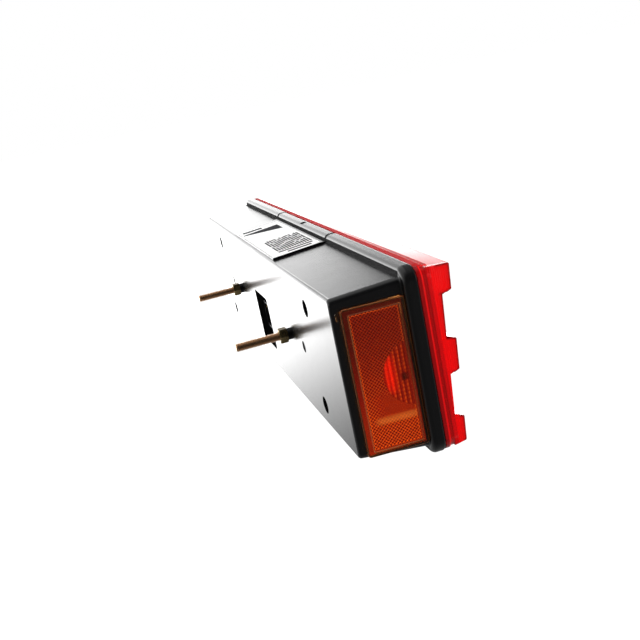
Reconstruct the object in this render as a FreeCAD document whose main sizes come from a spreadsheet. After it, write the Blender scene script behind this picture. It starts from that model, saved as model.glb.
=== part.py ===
import FreeCAD, Part
import math
import os
import re
import Sketcher

# Left-hand rear lamp of a truck, as an assembly of its moulded, pressed and turned pieces, in millimetres.
# Row frame: origin midway between the two mounting studs, on the outer faces of their base nuts, where the
# vehicle's bracket seats. +X runs to the inner end, the lens faces -Y, the studs point along +Y, +Z is up.
# Every body is drawn from the housing's back plane and placed one stand-off behind the origin.

SIZES = {
    # mounting hardware
    "stud_spacing": 237.0,
    "stud_diameter": 8.0,
    "stud_free_length": 41.0,
    "stud_tip_chamfer": 1.0,
    "stud_head_width": 13.0,
    "stud_head_height": 5.3,
    "shank_relief": 0.4,
    "nut_width": 13.0,
    "nut_height": 8.0,
    # housing tub
    "body_length": 577.0,
    "body_height": 128.5,
    "body_depth": 56.0,
    "body_rise": 1.5,
    "side_draft": 4.5,
    "wall_thickness": 2.8,
    "corner_round": 4.5,
    "edge_round": 3.0,
    # rim bead that the lens seats on
    "rim_depth": 11.5,
    "rim_overhang": 7.0,
    "rim_corner": 12.0,
    "rim_rear_round": 4.5,
    "rim_front_round": 2.5,
    "valley_round": 2.0,
    "groove_width": 3.0,
    "groove_depth": 2.5,
    "groove_margin": 1.2,
    # moulded bosses, posts and wells of the housing
    "boss_diameter": 11.0,
    "boss_height": 3.0,
    "stud_boss_diameter": 22.0,
    "stud_boss_depth": 14.0,
    "well_spacing_long": 415.0,
    "well_spacing_high": 86.0,
    "well_diameter": 15.0,
    "well_depth": 40.0,
    "well_wall": 2.0,
    "well_floor": 3.0,
    "vent_spacing": 340.0,
    "vent_diameter": 10.5,
    "post_diameter": 9.0,
    "post_spread": 96.0,
    "rest_diameter": 6.0,
    # lens
    "lens_inset": 0.8,
    "lens_step_depth": 3.8,
    "lens_step_inset": 1.2,
    "lens_ledge": 0.5,
    "lens_wall": 2.6,
    "lens_floor_depth": 15.5,
    "lens_lean": 3.8,
    "lens_end_draft": 6.0,
    "lens_end_relief": 1.4,
    "lens_mouth_margin": 0.6,
    "rib_depth": 7.4,
    "rib_draft": 20.0,
    "rib_round": 1.4,
    "middle_rib_height": 24.8,
    "channel_height": 37.9,
    "outer_rib_draft": 1.4,
    "lens_boss_diameter": 10.0,
    "window_length": 88.0,
    "window_height": 132.0,
    # reflector tray, bulbs and their sockets
    "tray_seat_depth": 60.0,
    "tray_thickness": 2.5,
    "tray_margin": 1.0,
    "bowl_radius": 46.0,
    "bowl_bottom_depth": 35.0,
    "bowl_wall": 2.0,
    "collar_length": 9.5,
    "socket_diameter": 17.0,
    "socket_wall": 0.8,
    "socket_length": 14.5,
    "socket_flange": 1.5,
    "socket_flange_thick": 1.0,
    "bulb_base_diameter": 15.0,
    "bulb_glass_diameter": 25.0,
    "bulb_neck_diameter": 12.0,
    "bulb_base_length": 17.0,
    "bulb_glass_length": 27.0,
    "contact_diameter": 3.6,
    "contact_height": 1.2,
    "contact_split": 7.0,
    # pressed strips
    "strip_depth": 19.0,
    "strip_thickness": 0.8,
    "strip_width": 6.0,
    "upper_lane": 16.0,
    "lower_lane": 19.0,
    "earth_gap": 4.2,
    "earth_width": 24.0,
    # connector recess
    "connector_width": 60.0,
    "connector_height": 55.0,
    "connector_drop": 12.0,
    "connector_round": 4.0,
    "recess_depth": 14.0,
    "recess_wall": 2.0,
    "recess_floor": 2.5,
    "connector_flange": 6.0,
    "flange_thickness": 2.5,
    "shroud_length": 54.0,
    "shroud_height": 28.0,
    "shroud_wall": 1.8,
    "shroud_depth": 8.0,
    "pin_diameter": 2.4,
    "pin_pitch": 14.0,
    "pin_row_gap": 14.0,
    "pin_reach": 6.5,
    # amber side marker
    "marker_back_margin": 6.5,
    "marker_front_margin": 2.5,
    "marker_top": 57.0,
    "marker_bottom_margin": 0.8,
    "marker_thickness": 3.0,
    "marker_recess": 1.2,
    "marker_border": 6.0,
    "marker_rim": 4.5,
    "marker_sill": 4.0,
    "marker_tab_reach": 3.4,
    "marker_tab_height": 7.0,
    "marker_tab_drop": 1.5,
    "marker_tray_depth": 30.0,
    "marker_tray_wall": 1.8,
    "marker_flange": 3.0,
    "marker_bulb_depth": 40.0,
    "marker_bulb_diameter": 10.0,
    "marker_bulb_length": 20.0,
    "marker_socket_diameter": 14.0,
    "marker_socket_length": 9.0,
    # number-plate lamp blank with its label
    "cover_length": 198.0,
    "cover_thickness": 2.0,
    "cover_back_margin": 3.0,
    "cover_notch": 4.2,
    "cover_web": 1.2,
    "pad_front_gap": 2.5,
    "cover_gap": 0.8,
    "cover_rib_depth": 2.0,
    "aperture_length": 150.0,
    "aperture_width": 28.0,
    "label_length": 181.0,
    "label_width": 47.0,
    "label_margin": 1.0,
    "label_thickness": 0.2,
    # screws
    "screw_diameter": 4.0,
    "screw_head_diameter": 8.0,
    "screw_head_height": 2.6,
    "lens_screw_length": 22.0,
    "tray_screw_length": 16.0,
    "cover_screw_length": 6.0,
    "cover_screw_diameter": 2.4,
    "cover_screw_head": 5.0,
    # clearances
    "fit_gap": 0.1,
    "screw_gap": 0.4,
}

# Lengths that follow from the sizes, as expressions on the sheet.
# Depths count from the back plane towards the lens.
SLOPE = "tan(side_draft * 1 deg)"
LEAN = "tan(lens_lean * 1 deg)"
STAND_OFF = "(boss_height + nut_height)"
RIM_FRONT = "(body_depth + rim_depth)"
RIM_HALF_LENGTH = f"(body_length / 2 + body_depth * {SLOPE} + rim_overhang)"
RIM_HALF_HEIGHT = f"(body_height / 2 + body_depth * {SLOPE} + rim_overhang)"
STEPS = 3
LENS_FRONT_STEP = f"({RIM_FRONT} + {STEPS} * lens_step_depth)"
LENS_INSET = f"(lens_inset + {STEPS - 1} * lens_step_inset + lens_ledge)"
RIB_HALF_LENGTH = f"({RIM_HALF_LENGTH} - {LENS_INSET})"
RIB_HALF_HEIGHT = f"({RIM_HALF_HEIGHT} - {LENS_INSET})"
LENS_FLOOR = f"({RIM_FRONT} + lens_floor_depth)"
LENS_CREST = f"({LENS_FLOOR} + rib_depth)"
RIB_RUN = "(rib_depth * tan(rib_draft * 1 deg))"
BULB_PITCH = "(well_spacing_long / 4)"
STRIP_FRONT = "(strip_depth + strip_thickness)"
EARTH_DEPTH = "(strip_depth + earth_gap)"
SOCKET_REAR = "(bowl_bottom_depth + socket_flange_thick - socket_length)"
MARKER_INNER = "(body_length / 2 - wall_thickness - marker_tray_depth)"
MARKER_FRONT = "(body_depth - marker_front_margin)"
MARKER_REAR = "marker_back_margin"
COVER_HALF = "(cover_length / 2)"

V = FreeCAD.Vector
UP = V(0, 0, 1)

doc = FreeCAD.newDocument("truck_tail_light")
sizes = doc.addObject("Spreadsheet::Sheet", "sizes")
for row, (alias, number) in enumerate(SIZES.items(), start=1):
    sizes.set(f"A{row}", alias)
    sizes.set(f"B{row}", str(number))
    sizes.setAlias(f"B{row}", alias)
doc.recompute()

PIECES = []


def bound(expression):
    """The expression with every size's name pointing at its cell in the sheet."""
    return re.sub(r"\b([a-z]+(?:_[a-z]+)+)\b", r"sizes.\1", str(expression))


def value(expression):
    """The expression's number at the present sizes."""
    return float(sizes.evalExpression(bound(expression)))


def side(depth, half):
    """Half the tub's outside length or height at a depth below the back plane."""
    return f"({half} / 2 + ({depth}) * {SLOPE})"


def new_piece(name, x="0"):
    """An empty body for one piece, placed one stand-off behind the origin."""
    body = doc.addObject("PartDesign::Body", name)
    body.Label = name
    body.setExpression("Placement.Base.x", bound(x))
    body.setExpression("Placement.Base.y", bound(f"-{STAND_OFF}"))
    PIECES.append(body)
    return body


def new_sketch(body, role, depth="0", across="0"):
    """A sketch on one of the body's origin planes, moved along the plane's normal, and across it on its x."""
    sketch = body.newObject("Sketcher::SketchObject", f"{body.Name}_sketch")
    plane = next(item for item in body.Origin.OriginFeatures if item.Role == role)
    sketch.AttachmentSupport = [(plane, "")]
    sketch.MapMode = "FlatFace"
    sketch.setExpression("AttachmentOffset.Base.x", bound(across))
    sketch.setExpression("AttachmentOffset.Base.z", bound(depth))
    return sketch


def pin_point(sketch, geometry, position, x, y):
    """Hold one point of the sketch at two expressions."""
    for kind, expression in (("DistanceX", x), ("DistanceY", y)):
        held = Sketcher.Constraint(kind, -1, 1, geometry, position, value(expression))
        index = sketch.addConstraint(held)
        sketch.setExpression(f"Constraints[{index}]", bound(expression))


def hold_radius(sketch, geometry, radius):
    index = sketch.addConstraint(Sketcher.Constraint("Radius", geometry, value(radius)))
    sketch.setExpression(f"Constraints[{index}]", bound(radius))


def polygon(sketch, points, arcs=None):
    """A closed outline through points given as pairs of expressions. arcs maps the number of a side to the
    expression of its radius; such a side bulges to the right of its direction, or to the left if negative."""
    arcs = arcs or {}
    first = sketch.GeometryCount
    spots = [V(value(x), value(y), 0) for x, y in points]
    ends = []
    for number, start in enumerate(spots):
        stop = spots[(number + 1) % len(spots)]
        if number not in arcs:
            sketch.addGeometry(Part.LineSegment(start, stop))
            ends.append((1, 2))
            continue
        radius = value(arcs[number])
        chord = stop.sub(start)
        middle = start.add(stop).multiply(0.5)
        left = V(-chord.y, chord.x, 0).normalize()
        reach = math.sqrt(max(radius**2 - (chord.Length / 2) ** 2, 0.0))
        centre = middle.add(left.multiply(math.copysign(reach, radius)))
        begin, finish = (start, stop) if radius > 0 else (stop, start)
        angles = [math.atan2(p.y - centre.y, p.x - centre.x) for p in (begin, finish)]
        circle = Part.Circle(centre, UP, abs(radius))
        sketch.addGeometry(Part.ArcOfCircle(circle, *angles))
        ends.append((1, 2) if radius > 0 else (2, 1))
    for number, (x, y) in enumerate(points):
        geometry, following = first + number, (number + 1) % len(points)
        pin_point(sketch, geometry, ends[number][0], x, y)
        leaves, meets = ends[number][1], ends[following][0]
        sketch.addConstraint(Sketcher.Constraint("Coincident", geometry, leaves, first + following, meets))
        if number in arcs:
            hold_radius(sketch, geometry, f"abs({arcs[number]})")


def rectangle(sketch, left, bottom, right, top, radius=None):
    """A rectangle, with its corners rounded where a radius is given."""
    if radius is None:
        polygon(sketch, [(left, bottom), (right, bottom), (right, top), (left, top)])
        return
    points = [
        (f"{left} + {radius}", bottom), (f"{right} - {radius}", bottom),
        (right, f"{bottom} + {radius}"), (right, f"{top} - {radius}"),
        (f"{right} - {radius}", top), (f"{left} + {radius}", top),
        (left, f"{top} - {radius}"), (left, f"{bottom} + {radius}"),
    ]
    polygon(sketch, points, {number: radius for number in (1, 3, 5, 7)})


def panel(sketch, half_length, half_height, radius):
    """A rounded rectangle about the middle of the lamp's body."""
    low, high = f"body_rise - {half_height}", f"body_rise + {half_height}"
    rectangle(sketch, f"-{half_length}", low, half_length, high, radius)


def circles(sketch, centres, radius):
    for x, y in centres:
        circle = Part.Circle(V(value(x), value(y), 0), UP, value(radius))
        geometry = sketch.addGeometry(circle)
        pin_point(sketch, geometry, 3, x, y)
        hold_radius(sketch, geometry, radius)


def hexagons(sketch, centres, width):
    """Hexagons of a width across flats, with a flat to the top."""
    far, near, flat = f"{width} / sqrt(3)", f"{width} / sqrt(3) / 2", f"{width} / 2"
    tips = [
        (far, "0"), (near, flat), (f"-{near}", flat),
        (f"-{far}", "0"), (f"-{near}", f"-{flat}"), (near, f"-{flat}"),
    ]
    for x, y in centres:
        polygon(sketch, [(f"{x} + {dx}", f"{y} + {dy}") for dx, dy in tips])


def feature(kind, sketch, length, reverse=False, both_ways=False):
    """A pad or a pocket of the sketch's body. Unreversed, a pad goes along the sketch's normal and a pocket
    against it. A pocket that leaves the volume as it was stops the script."""
    body = sketch.getParentGeoFeatureGroup()
    doc.recompute()
    before = body.Shape.Volume if body.Tip and not body.Shape.isNull() else 0.0
    made = body.newObject(f"PartDesign::{kind}", f"{body.Name}_{kind.lower()}")
    made.Profile = sketch
    made.setExpression("Length", bound(length))
    made.Reversed = reverse
    if both_ways:
        made.SideType = "Symmetric"
    doc.recompute()
    if kind == "Pocket" and not body.Shape.Volume < before:
        raise RuntimeError(f"a pocket of {body.Label} cuts nothing")
    return made


def loft(kind, first, second):
    body = first.getParentGeoFeatureGroup()
    made = body.newObject(f"PartDesign::{kind}Loft", f"{body.Name}_loft")
    made.Profile = first
    made.Sections = [second]
    made.Ruled = True
    doc.recompute()
    return made


def revolve(sketch):
    """A full turn of the sketch about its own vertical axis."""
    body = sketch.getParentGeoFeatureGroup()
    made = body.newObject("PartDesign::Revolution", f"{body.Name}_revolution")
    made.Profile = sketch
    made.ReferenceAxis = (sketch, ["V_Axis"])
    made.Angle = 360
    doc.recompute()
    return made


def fillet(body, radius, chosen):
    """Round the body's edges for which chosen(middle point, direction) holds, in the body's own frame."""
    base = body.Tip
    names = []
    for number, edge in enumerate(base.Shape.Edges, start=1):
        first, last = edge.ParameterRange
        middle = edge.valueAt((first + last) / 2)
        run = edge.valueAt(last).sub(edge.valueAt(first))
        if chosen(middle, run):
            names.append(f"Edge{number}")
    made = body.newObject("PartDesign::Fillet", f"{body.Name}_fillet")
    made.Base = (base, names)
    made.setExpression("Radius", bound(radius))
    doc.recompute()
    return made


def near(number, expression, within=0.01):
    return abs(number - value(expression)) < within


def corners(long, high, rise="0"):
    """The four corners of a rectangle of centres about the stud line, or about a line above it."""
    return [(f"{a} * {long} / 2", f"{rise} + {b} * {high} / 2") for a in (-1, 1) for b in (-1, 1)]


STUDS = [("-stud_spacing / 2", "0"), ("stud_spacing / 2", "0")]
VENTS = [("-vent_spacing / 2", "0"), ("vent_spacing / 2", "0")]
WELLS = corners("well_spacing_long", "well_spacing_high")
POSTS = corners(f"(2 * {BULB_PITCH})", "post_spread", "body_rise")
BULBS = {
    "indicator": f"-1.5 * {BULB_PITCH}",
    "stop_tail": f"-0.5 * {BULB_PITCH}",
    "fog": f"0.5 * {BULB_PITCH}",
    "reversing": f"1.5 * {BULB_PITCH}",
}
CONNECTOR_LOW = "-connector_drop - connector_height / 2"
CONNECTOR_HIGH = "-connector_drop + connector_height / 2"
PIN_UPPER = "(pin_row_gap / 2 - connector_drop)"
PIN_LOWER = "(-pin_row_gap / 2 - connector_drop)"
UPPER_PINS = {
    "stop": "-1.5 * pin_pitch",
    "indicator": "-0.5 * pin_pitch",
    "reversing": "0.5 * pin_pitch",
    "fog": "1.5 * pin_pitch",
}
LOWER_PINS = {"tail": "-pin_pitch", "earth": "0", "spare": "pin_pitch"}


def top_of_body(depth):
    """Height of the tub's top face at a depth."""
    return f"(body_rise + {side(depth, 'body_height')})"


COVER_STEP = f"(body_rise + {RIM_HALF_HEIGHT} - cover_notch)"


def cover_seat():
    """Section of the stepped seat of the number-plate lamp blank, from the back edge to the rim's front."""
    bead_rear = "(body_depth + cover_web)"
    return [
        ("-cover_back_margin", top_of_body("cover_back_margin")),
        (f"-{bead_rear}", top_of_body(bead_rear)),
        (f"-{bead_rear}", COVER_STEP),
        (f"-{RIM_FRONT}", COVER_STEP),
    ]


def housing():
    """Black moulded tub with drafted sides, a rim bead, screw wells, stud bosses and its openings."""
    body = new_piece("housing")
    back, front = new_sketch(body, "XZ_Plane"), new_sketch(body, "XZ_Plane", "body_depth")
    panel(back, "body_length / 2", "body_height / 2", "corner_round")
    panel(front, side("body_depth", "body_length"), side("body_depth", "body_height"), "corner_round")
    loft("Additive", back, front)
    fillet(body, "edge_round", lambda p, run: near(p.y, "0"))
    rim = new_sketch(body, "XZ_Plane", "body_depth")
    panel(rim, RIM_HALF_LENGTH, RIM_HALF_HEIGHT, "rim_corner")
    feature("Pad", rim, "rim_depth")
    reach = value(RIM_HALF_HEIGHT) - value("rim_overhang") / 2
    length_reach = value(RIM_HALF_LENGTH) - value("rim_overhang") / 2

    def outside(p):
        return abs(p.x) > length_reach or abs(p.z - value("body_rise")) > reach

    fillet(body, "rim_rear_round", lambda p, run: near(p.y, "-body_depth") and outside(p))
    fillet(body, "rim_front_round", lambda p, run: near(p.y, f"-{RIM_FRONT}") and outside(p))
    fillet(body, "valley_round", lambda p, run: near(p.y, "-body_depth") and not outside(p))
    hollow = []
    for depth in ("wall_thickness", RIM_FRONT):
        sketch = new_sketch(body, "XZ_Plane", depth)
        half = [f"({side(depth, size)} - wall_thickness)" for size in ("body_length", "body_height")]
        panel(sketch, half[0], half[1], "(corner_round - wall_thickness / 2)")
        hollow.append(sketch)
    loft("Subtractive", *hollow)
    housing_bosses(body)
    housing_openings(body)
    return body


def housing_bosses(body):
    """Wells for the lens screws, stud bosses inside and out, tray posts and rests for the strips."""
    wells = new_sketch(body, "XZ_Plane")
    circles(wells, WELLS, "(well_diameter / 2 + well_wall)")
    feature("Pad", wells, "well_depth + well_floor")
    inner = new_sketch(body, "XZ_Plane", "wall_thickness / 2")
    circles(inner, STUDS, "(stud_boss_diameter / 2)")
    feature("Pad", inner, "stud_boss_depth - wall_thickness / 2")
    outer = new_sketch(body, "XZ_Plane")
    circles(outer, STUDS, "(boss_diameter / 2)")
    feature("Pad", outer, "boss_height", reverse=True)
    posts = new_sketch(body, "XZ_Plane", "wall_thickness / 2")
    circles(posts, POSTS, "(post_diameter / 2)")
    feature("Pad", posts, "tray_seat_depth - wall_thickness / 2")
    rests = new_sketch(body, "XZ_Plane", "wall_thickness / 2")
    circles(rests, strip_rests(), "(rest_diameter / 2)")
    feature("Pad", rests, "strip_depth - wall_thickness / 2")


def strip_rests():
    """Places of the short posts that carry the strips clear of the back wall."""
    upper = [(f"{a} * 0.9 * {BULB_PITCH}", "upper_lane") for a in (-1, 1)]
    lower = [(f"-{a} * {BULB_PITCH}", "-lower_lane") for a in (0.9, 1.9)]
    return upper + lower


def housing_openings(body):
    """Screw wells, holes and windows through the tub's walls, and the gasket groove in the rim."""
    through = f"({STAND_OFF} + stud_boss_depth)"
    bores = new_sketch(body, "XZ_Plane")
    circles(bores, WELLS, "(well_diameter / 2)")
    feature("Pocket", bores, "well_depth", reverse=True)
    screw_holes = new_sketch(body, "XZ_Plane")
    circles(screw_holes, WELLS, "((screw_diameter + screw_gap) / 2)")
    feature("Pocket", screw_holes, "well_depth + well_floor", reverse=True)
    heads = new_sketch(body, "XZ_Plane", "stud_boss_depth")
    hexagons(heads, STUDS, "(stud_head_width + 2 * fit_gap)")
    feature("Pocket", heads, "stud_head_height + 2 * fit_gap")
    holes = new_sketch(body, "XZ_Plane", "stud_boss_depth")
    circles(holes, STUDS, "(stud_diameter / 2 + fit_gap)")
    feature("Pocket", holes, through)
    vents = new_sketch(body, "XZ_Plane")
    circles(vents, VENTS, "(vent_diameter / 2)")
    feature("Pocket", vents, "wall_thickness", reverse=True)
    plug = new_sketch(body, "XZ_Plane")
    connector_mouth(plug, "0")
    feature("Pocket", plug, "wall_thickness", reverse=True)
    pilots = new_sketch(body, "XZ_Plane", "tray_seat_depth")
    circles(pilots, POSTS, "(screw_diameter / 2 + fit_gap)")
    feature("Pocket", pilots, "tray_screw_length")
    groove = new_sketch(body, "XZ_Plane", RIM_FRONT)
    gasket_outline(groove, "0")
    feature("Pocket", groove, "groove_depth")
    end = new_sketch(body, "YZ_Plane", f"-{MARKER_INNER}")
    rectangle(end, *marker_mouth("0"))
    feature("Pocket", end, "2 * marker_tray_depth")
    notch = new_sketch(body, "YZ_Plane")
    above = f"(body_rise + {RIM_HALF_HEIGHT} + rim_overhang)"
    behind = "(body_depth - valley_round - cover_web)"
    edge = [(f"-{RIM_FRONT}", above), (f"-{behind}", above), (f"-{behind}", top_of_body(behind))]
    polygon(notch, cover_seat()[1:] + edge)
    feature("Pocket", notch, "cover_length", both_ways=True)
    aperture = new_sketch(body, "XY_Plane", top_of_body("0") + " - 2 * wall_thickness")
    low, high = "(-body_depth / 2 - aperture_width / 2)", "(-body_depth / 2 + aperture_width / 2)"
    rectangle(aperture, "-aperture_length / 2", low, "aperture_length / 2", high, "connector_round")
    feature("Pocket", aperture, "body_height / 4", reverse=True)
    pilot = new_sketch(body, "XY_Plane", COVER_STEP)
    circles(pilot, [("0", COVER_SCREW_Y)], "(cover_screw_diameter / 2 + fit_gap)")
    feature("Pocket", pilot, "cover_notch - fit_gap")


COVER_SCREW_Y = "(-body_depth - rim_depth / 2 + 1)"


def connector_mouth(sketch, grow):
    """Rounded outline of the connector's opening in the back wall, widened all round."""
    half = f"(connector_width / 2 + {grow})"
    low, high = f"{CONNECTOR_LOW} - {grow}", f"{CONNECTOR_HIGH} + {grow}"
    rectangle(sketch, f"-{half}", low, half, high, f"(connector_round + {grow})")


def gasket_outline(sketch, gap):
    """The two rounded outlines of the gasket groove, narrowed on both sides by a gap."""
    for offset in (f"groove_margin + {gap}", f"groove_margin + groove_width - {gap}"):
        grow = f"{offset} - wall_thickness"
        half = [f"({side(RIM_FRONT, size)} + {grow})" for size in ("body_length", "body_height")]
        panel(sketch, half[0], half[1], f"(corner_round - wall_thickness / 2 + {offset})")


def marker_mouth(grow):
    """Left, bottom, right and top of the opening in the end wall behind the side marker."""
    return (
        f"-{MARKER_FRONT} + marker_rim + marker_flange - {grow}",
        f"body_rise - body_height / 2 + marker_bottom_margin + 2 * marker_border + marker_flange - {grow}",
        f"-{MARKER_REAR} - marker_border - marker_flange + {grow}",
        f"marker_top - marker_border - marker_flange + {grow}",
    )


def rib_point(height, depth):
    """A point of the lens section: a height above the body's middle, and a depth that leans with it."""
    return f"(-({depth}) - ({height}) * {LEAN})", f"(body_rise + {height})"


def rib_outline(inset, outer_edge):
    """Front of the lens section from the bottom to the top: three ribs and two channels, drawn an inset below
    the surface. outer_edge is where the outer ribs stop."""
    shift = f"(({inset}) * (1 / cos(rib_draft * 1 deg) - tan(rib_draft * 1 deg)))"
    crest, floor = f"{LENS_CREST} - {inset}", f"{LENS_FLOOR} - {inset}"
    half = "middle_rib_height / 2"
    upward = [
        (f"({half} - {shift})", crest),
        (f"({half} + {RIB_RUN} - {shift})", floor),
        (f"({half} + channel_height - {RIB_RUN} + {shift})", floor),
        (f"({half} + channel_height + {shift})", crest),
        (f"({outer_edge})", crest),
    ]
    downward = [(f"-{height}", depth) for height, depth in reversed(upward)]
    return [rib_point(height, depth) for height, depth in downward + upward]


def lens():
    """Red moulded lens: a stepped flange on the rim, three ribs along the front, and four screw bosses."""
    body = new_piece("lens")
    for step in range(STEPS):
        inset = f"(lens_inset + {step} * lens_step_inset)"
        sketch = new_sketch(body, "XZ_Plane", f"{RIM_FRONT} + {step} * lens_step_depth")
        half = [f"({rim} - {inset})" for rim in (RIM_HALF_LENGTH, RIM_HALF_HEIGHT)]
        panel(sketch, half[0], half[1], f"(rim_corner - {inset})")
        feature("Pad", sketch, "lens_step_depth")
    ribs = new_sketch(body, "YZ_Plane")
    root = f"-({LENS_FRONT_STEP} - lens_step_depth)"
    low = (root, f"body_rise - {RIB_HALF_HEIGHT}")
    high = (root, f"body_rise + {RIB_HALF_HEIGHT}")
    polygon(ribs, [low] + rib_outline("0", f"{RIB_HALF_HEIGHT} - outer_rib_draft") + [high])
    feature("Pad", ribs, f"2 * {RIB_HALF_LENGTH}", both_ways=True)
    ends = new_sketch(body, "XY_Plane", "body_rise")
    lens_end_cuts(ends, RIB_HALF_LENGTH)
    feature("Pocket", ends, f"3 * {RIM_HALF_HEIGHT}", both_ways=True)

    def on_crest(p, run):
        lean = (p.z - value("body_rise")) * value(LEAN)
        return abs(run.x) > value("body_length") / 2 and near(p.y + lean, f"-{LENS_CREST}", 0.05)

    fillet(body, "rib_round", on_crest)
    for sign in ("-", "+"):
        relief = new_sketch(body, "XY_Plane", f"body_rise {sign} (middle_rib_height + channel_height) / 2")
        lens_end_cuts(relief, f"({RIB_HALF_LENGTH} - lens_end_relief)")
        feature("Pocket", relief, f"channel_height - {RIB_RUN}", both_ways=True)
    lens_inside(body)
    return body


def lens_end_cuts(sketch, half_length):
    """Plan of what is cut from both ends of the ribs, along a draft that starts on the front step."""
    past = f"({LENS_CREST} + {RIB_HALF_HEIGHT} * {LEAN} + rib_depth)"
    run = f"(({past} - {LENS_FRONT_STEP}) * tan(lens_end_draft * 1 deg))"
    for sign in ("-", ""):
        tip, far = f"{sign}({half_length})", f"{sign}({half_length} + rim_overhang)"
        polygon(sketch, [
            (tip, f"-{LENS_FRONT_STEP}"), (far, f"-{LENS_FRONT_STEP}"), (far, f"-{past}"),
            (f"{sign}({half_length} - {run})", f"-{past}"),
        ])


def lens_inside(body):
    """Hollow of the lens, the two coloured windows' openings and the bosses that its screws bite in."""
    mouth = f"({side(RIM_FRONT, 'body_height')} - wall_thickness - lens_mouth_margin)"
    hollow = new_sketch(body, "YZ_Plane")
    inner = rib_outline("lens_wall", f"{mouth}")
    shoulder = [(f"-{RIM_FRONT}", f"body_rise {sign} {mouth}") for sign in ("-", "+")]
    polygon(hollow, shoulder[:1] + inner + shoulder[1:])
    length = f"({side(RIM_FRONT, 'body_length')} - wall_thickness - lens_mouth_margin)"
    feature("Pocket", hollow, f"2 * {length}", both_ways=True)
    windows = new_sketch(body, "XZ_Plane", f"{LENS_FRONT_STEP} - lens_step_depth")
    for sign in (-1, 1):
        middle = f"({sign} * 1.5 * {BULB_PITCH})"
        rectangle(windows, f"{middle} - window_length / 2", "body_rise - window_height / 2",
                  f"{middle} + window_length / 2", "body_rise + window_height / 2")
    feature("Pocket", windows, f"2 * {LENS_CREST}", reverse=True)
    start = "well_depth + well_floor"
    for sign in ("+", "-"):
        height = f"({sign} well_spacing_high / 2 - body_rise)".replace("+ ", "")
        centres = [(x, y) for x, y in WELLS if value(y) * value(f"{sign}1") > 0]
        bosses = new_sketch(body, "XZ_Plane", start)
        circles(bosses, centres, "(lens_boss_diameter / 2)")
        feature("Pad", bosses, f"{LENS_FLOOR} + {height} * {LEAN} - lens_wall / 2 - ({start})")
    pilots = new_sketch(body, "XZ_Plane", start)
    circles(pilots, WELLS, "(screw_diameter / 2 + fit_gap)")
    feature("Pocket", pilots, "lens_screw_length - well_floor + fit_gap", reverse=True)


def lens_window(name, sign):
    """Coloured window of the lens: the ribbed wall itself, let into the red frame."""
    body = new_piece(name, f"{sign} * 1.5 * {BULB_PITCH}")
    edge = "(window_height / 2)"
    sketch = new_sketch(body, "YZ_Plane")
    polygon(sketch, rib_outline("0", edge) + rib_outline("lens_wall", edge)[::-1])
    feature("Pad", sketch, "window_length - 2 * fit_gap", both_ways=True)


def lens_gasket():
    """Sealing cord in the rim's groove, pressed flush by the lens."""
    body = new_piece("lens_gasket")
    sketch = new_sketch(body, "XZ_Plane", f"{RIM_FRONT} - groove_depth")
    gasket_outline(sketch, "fit_gap")
    feature("Pad", sketch, "groove_depth")


def screws(name, centres, seat, length):
    """Pan-head self-tapping screws whose heads seat at a depth, pointing to the lens or, if the length is
    negative, to the back."""
    body = new_piece(name)
    reverse = value(length) < 0
    head = new_sketch(body, "XZ_Plane", seat)
    circles(head, centres, "(screw_head_diameter / 2)")
    feature("Pad", head, "screw_head_height", reverse=not reverse)
    shank = new_sketch(body, "XZ_Plane", seat)
    circles(shank, centres, "(screw_diameter / 2)")
    feature("Pad", shank, f"abs({length})", reverse=reverse)


def reflector_tray():
    """Metallised tray: a plate with a bowl for each bulb, and a collar behind each bowl for its socket."""
    body = new_piece("reflector_tray")
    plate = new_sketch(body, "XZ_Plane", "tray_seat_depth")
    half = f"({side('tray_seat_depth', 'body_height')} - wall_thickness - tray_margin)"
    right = f"({side('tray_seat_depth', 'body_length')} - wall_thickness - tray_margin)"
    left = f"-({MARKER_INNER} - marker_flange)"
    rectangle(plate, left, f"body_rise - {half}", right, f"body_rise + {half}", "corner_round")
    feature("Pad", plate, "tray_thickness")
    bowls = new_sketch(body, "XZ_Plane", "tray_seat_depth")
    circles(bowls, [(x, "body_rise") for x in BULBS.values()], "bowl_radius")
    circles(bowls, WELLS, "(lens_boss_diameter / 2 + screw_gap)")
    circles(bowls, POSTS, "(screw_diameter / 2 + screw_gap / 2)")
    feature("Pocket", bowls, "tray_thickness", reverse=True)
    inner = "(socket_diameter / 2 + fit_gap)"
    seat = f"({inner} + socket_flange)"
    mouth = "(tray_seat_depth + tray_thickness)"
    rise, run = f"({mouth} - bowl_bottom_depth)", f"(bowl_radius - {seat})"
    sweep = f"(({run} * {run} + {rise} * {rise}) / (2 * {rise}))"
    rear = "(bowl_bottom_depth - collar_length)"
    behind = "(bowl_bottom_depth - bowl_wall)"
    for x in BULBS.values():
        sketch = new_sketch(body, "XY_Plane", "body_rise", x)
        polygon(sketch, [
            (inner, f"-{rear}"), (f"{inner} + bowl_wall", f"-{rear}"), (f"{inner} + bowl_wall", f"-{behind}"),
            ("bowl_radius + bowl_wall", "-tray_seat_depth"), ("bowl_radius + bowl_wall", f"-{mouth}"),
            ("bowl_radius", f"-{mouth}"), (seat, "-bowl_bottom_depth"), (inner, "-bowl_bottom_depth"),
        ], {2: f"-({sweep} + bowl_wall)", 5: sweep})
        revolve(sketch)


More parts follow.
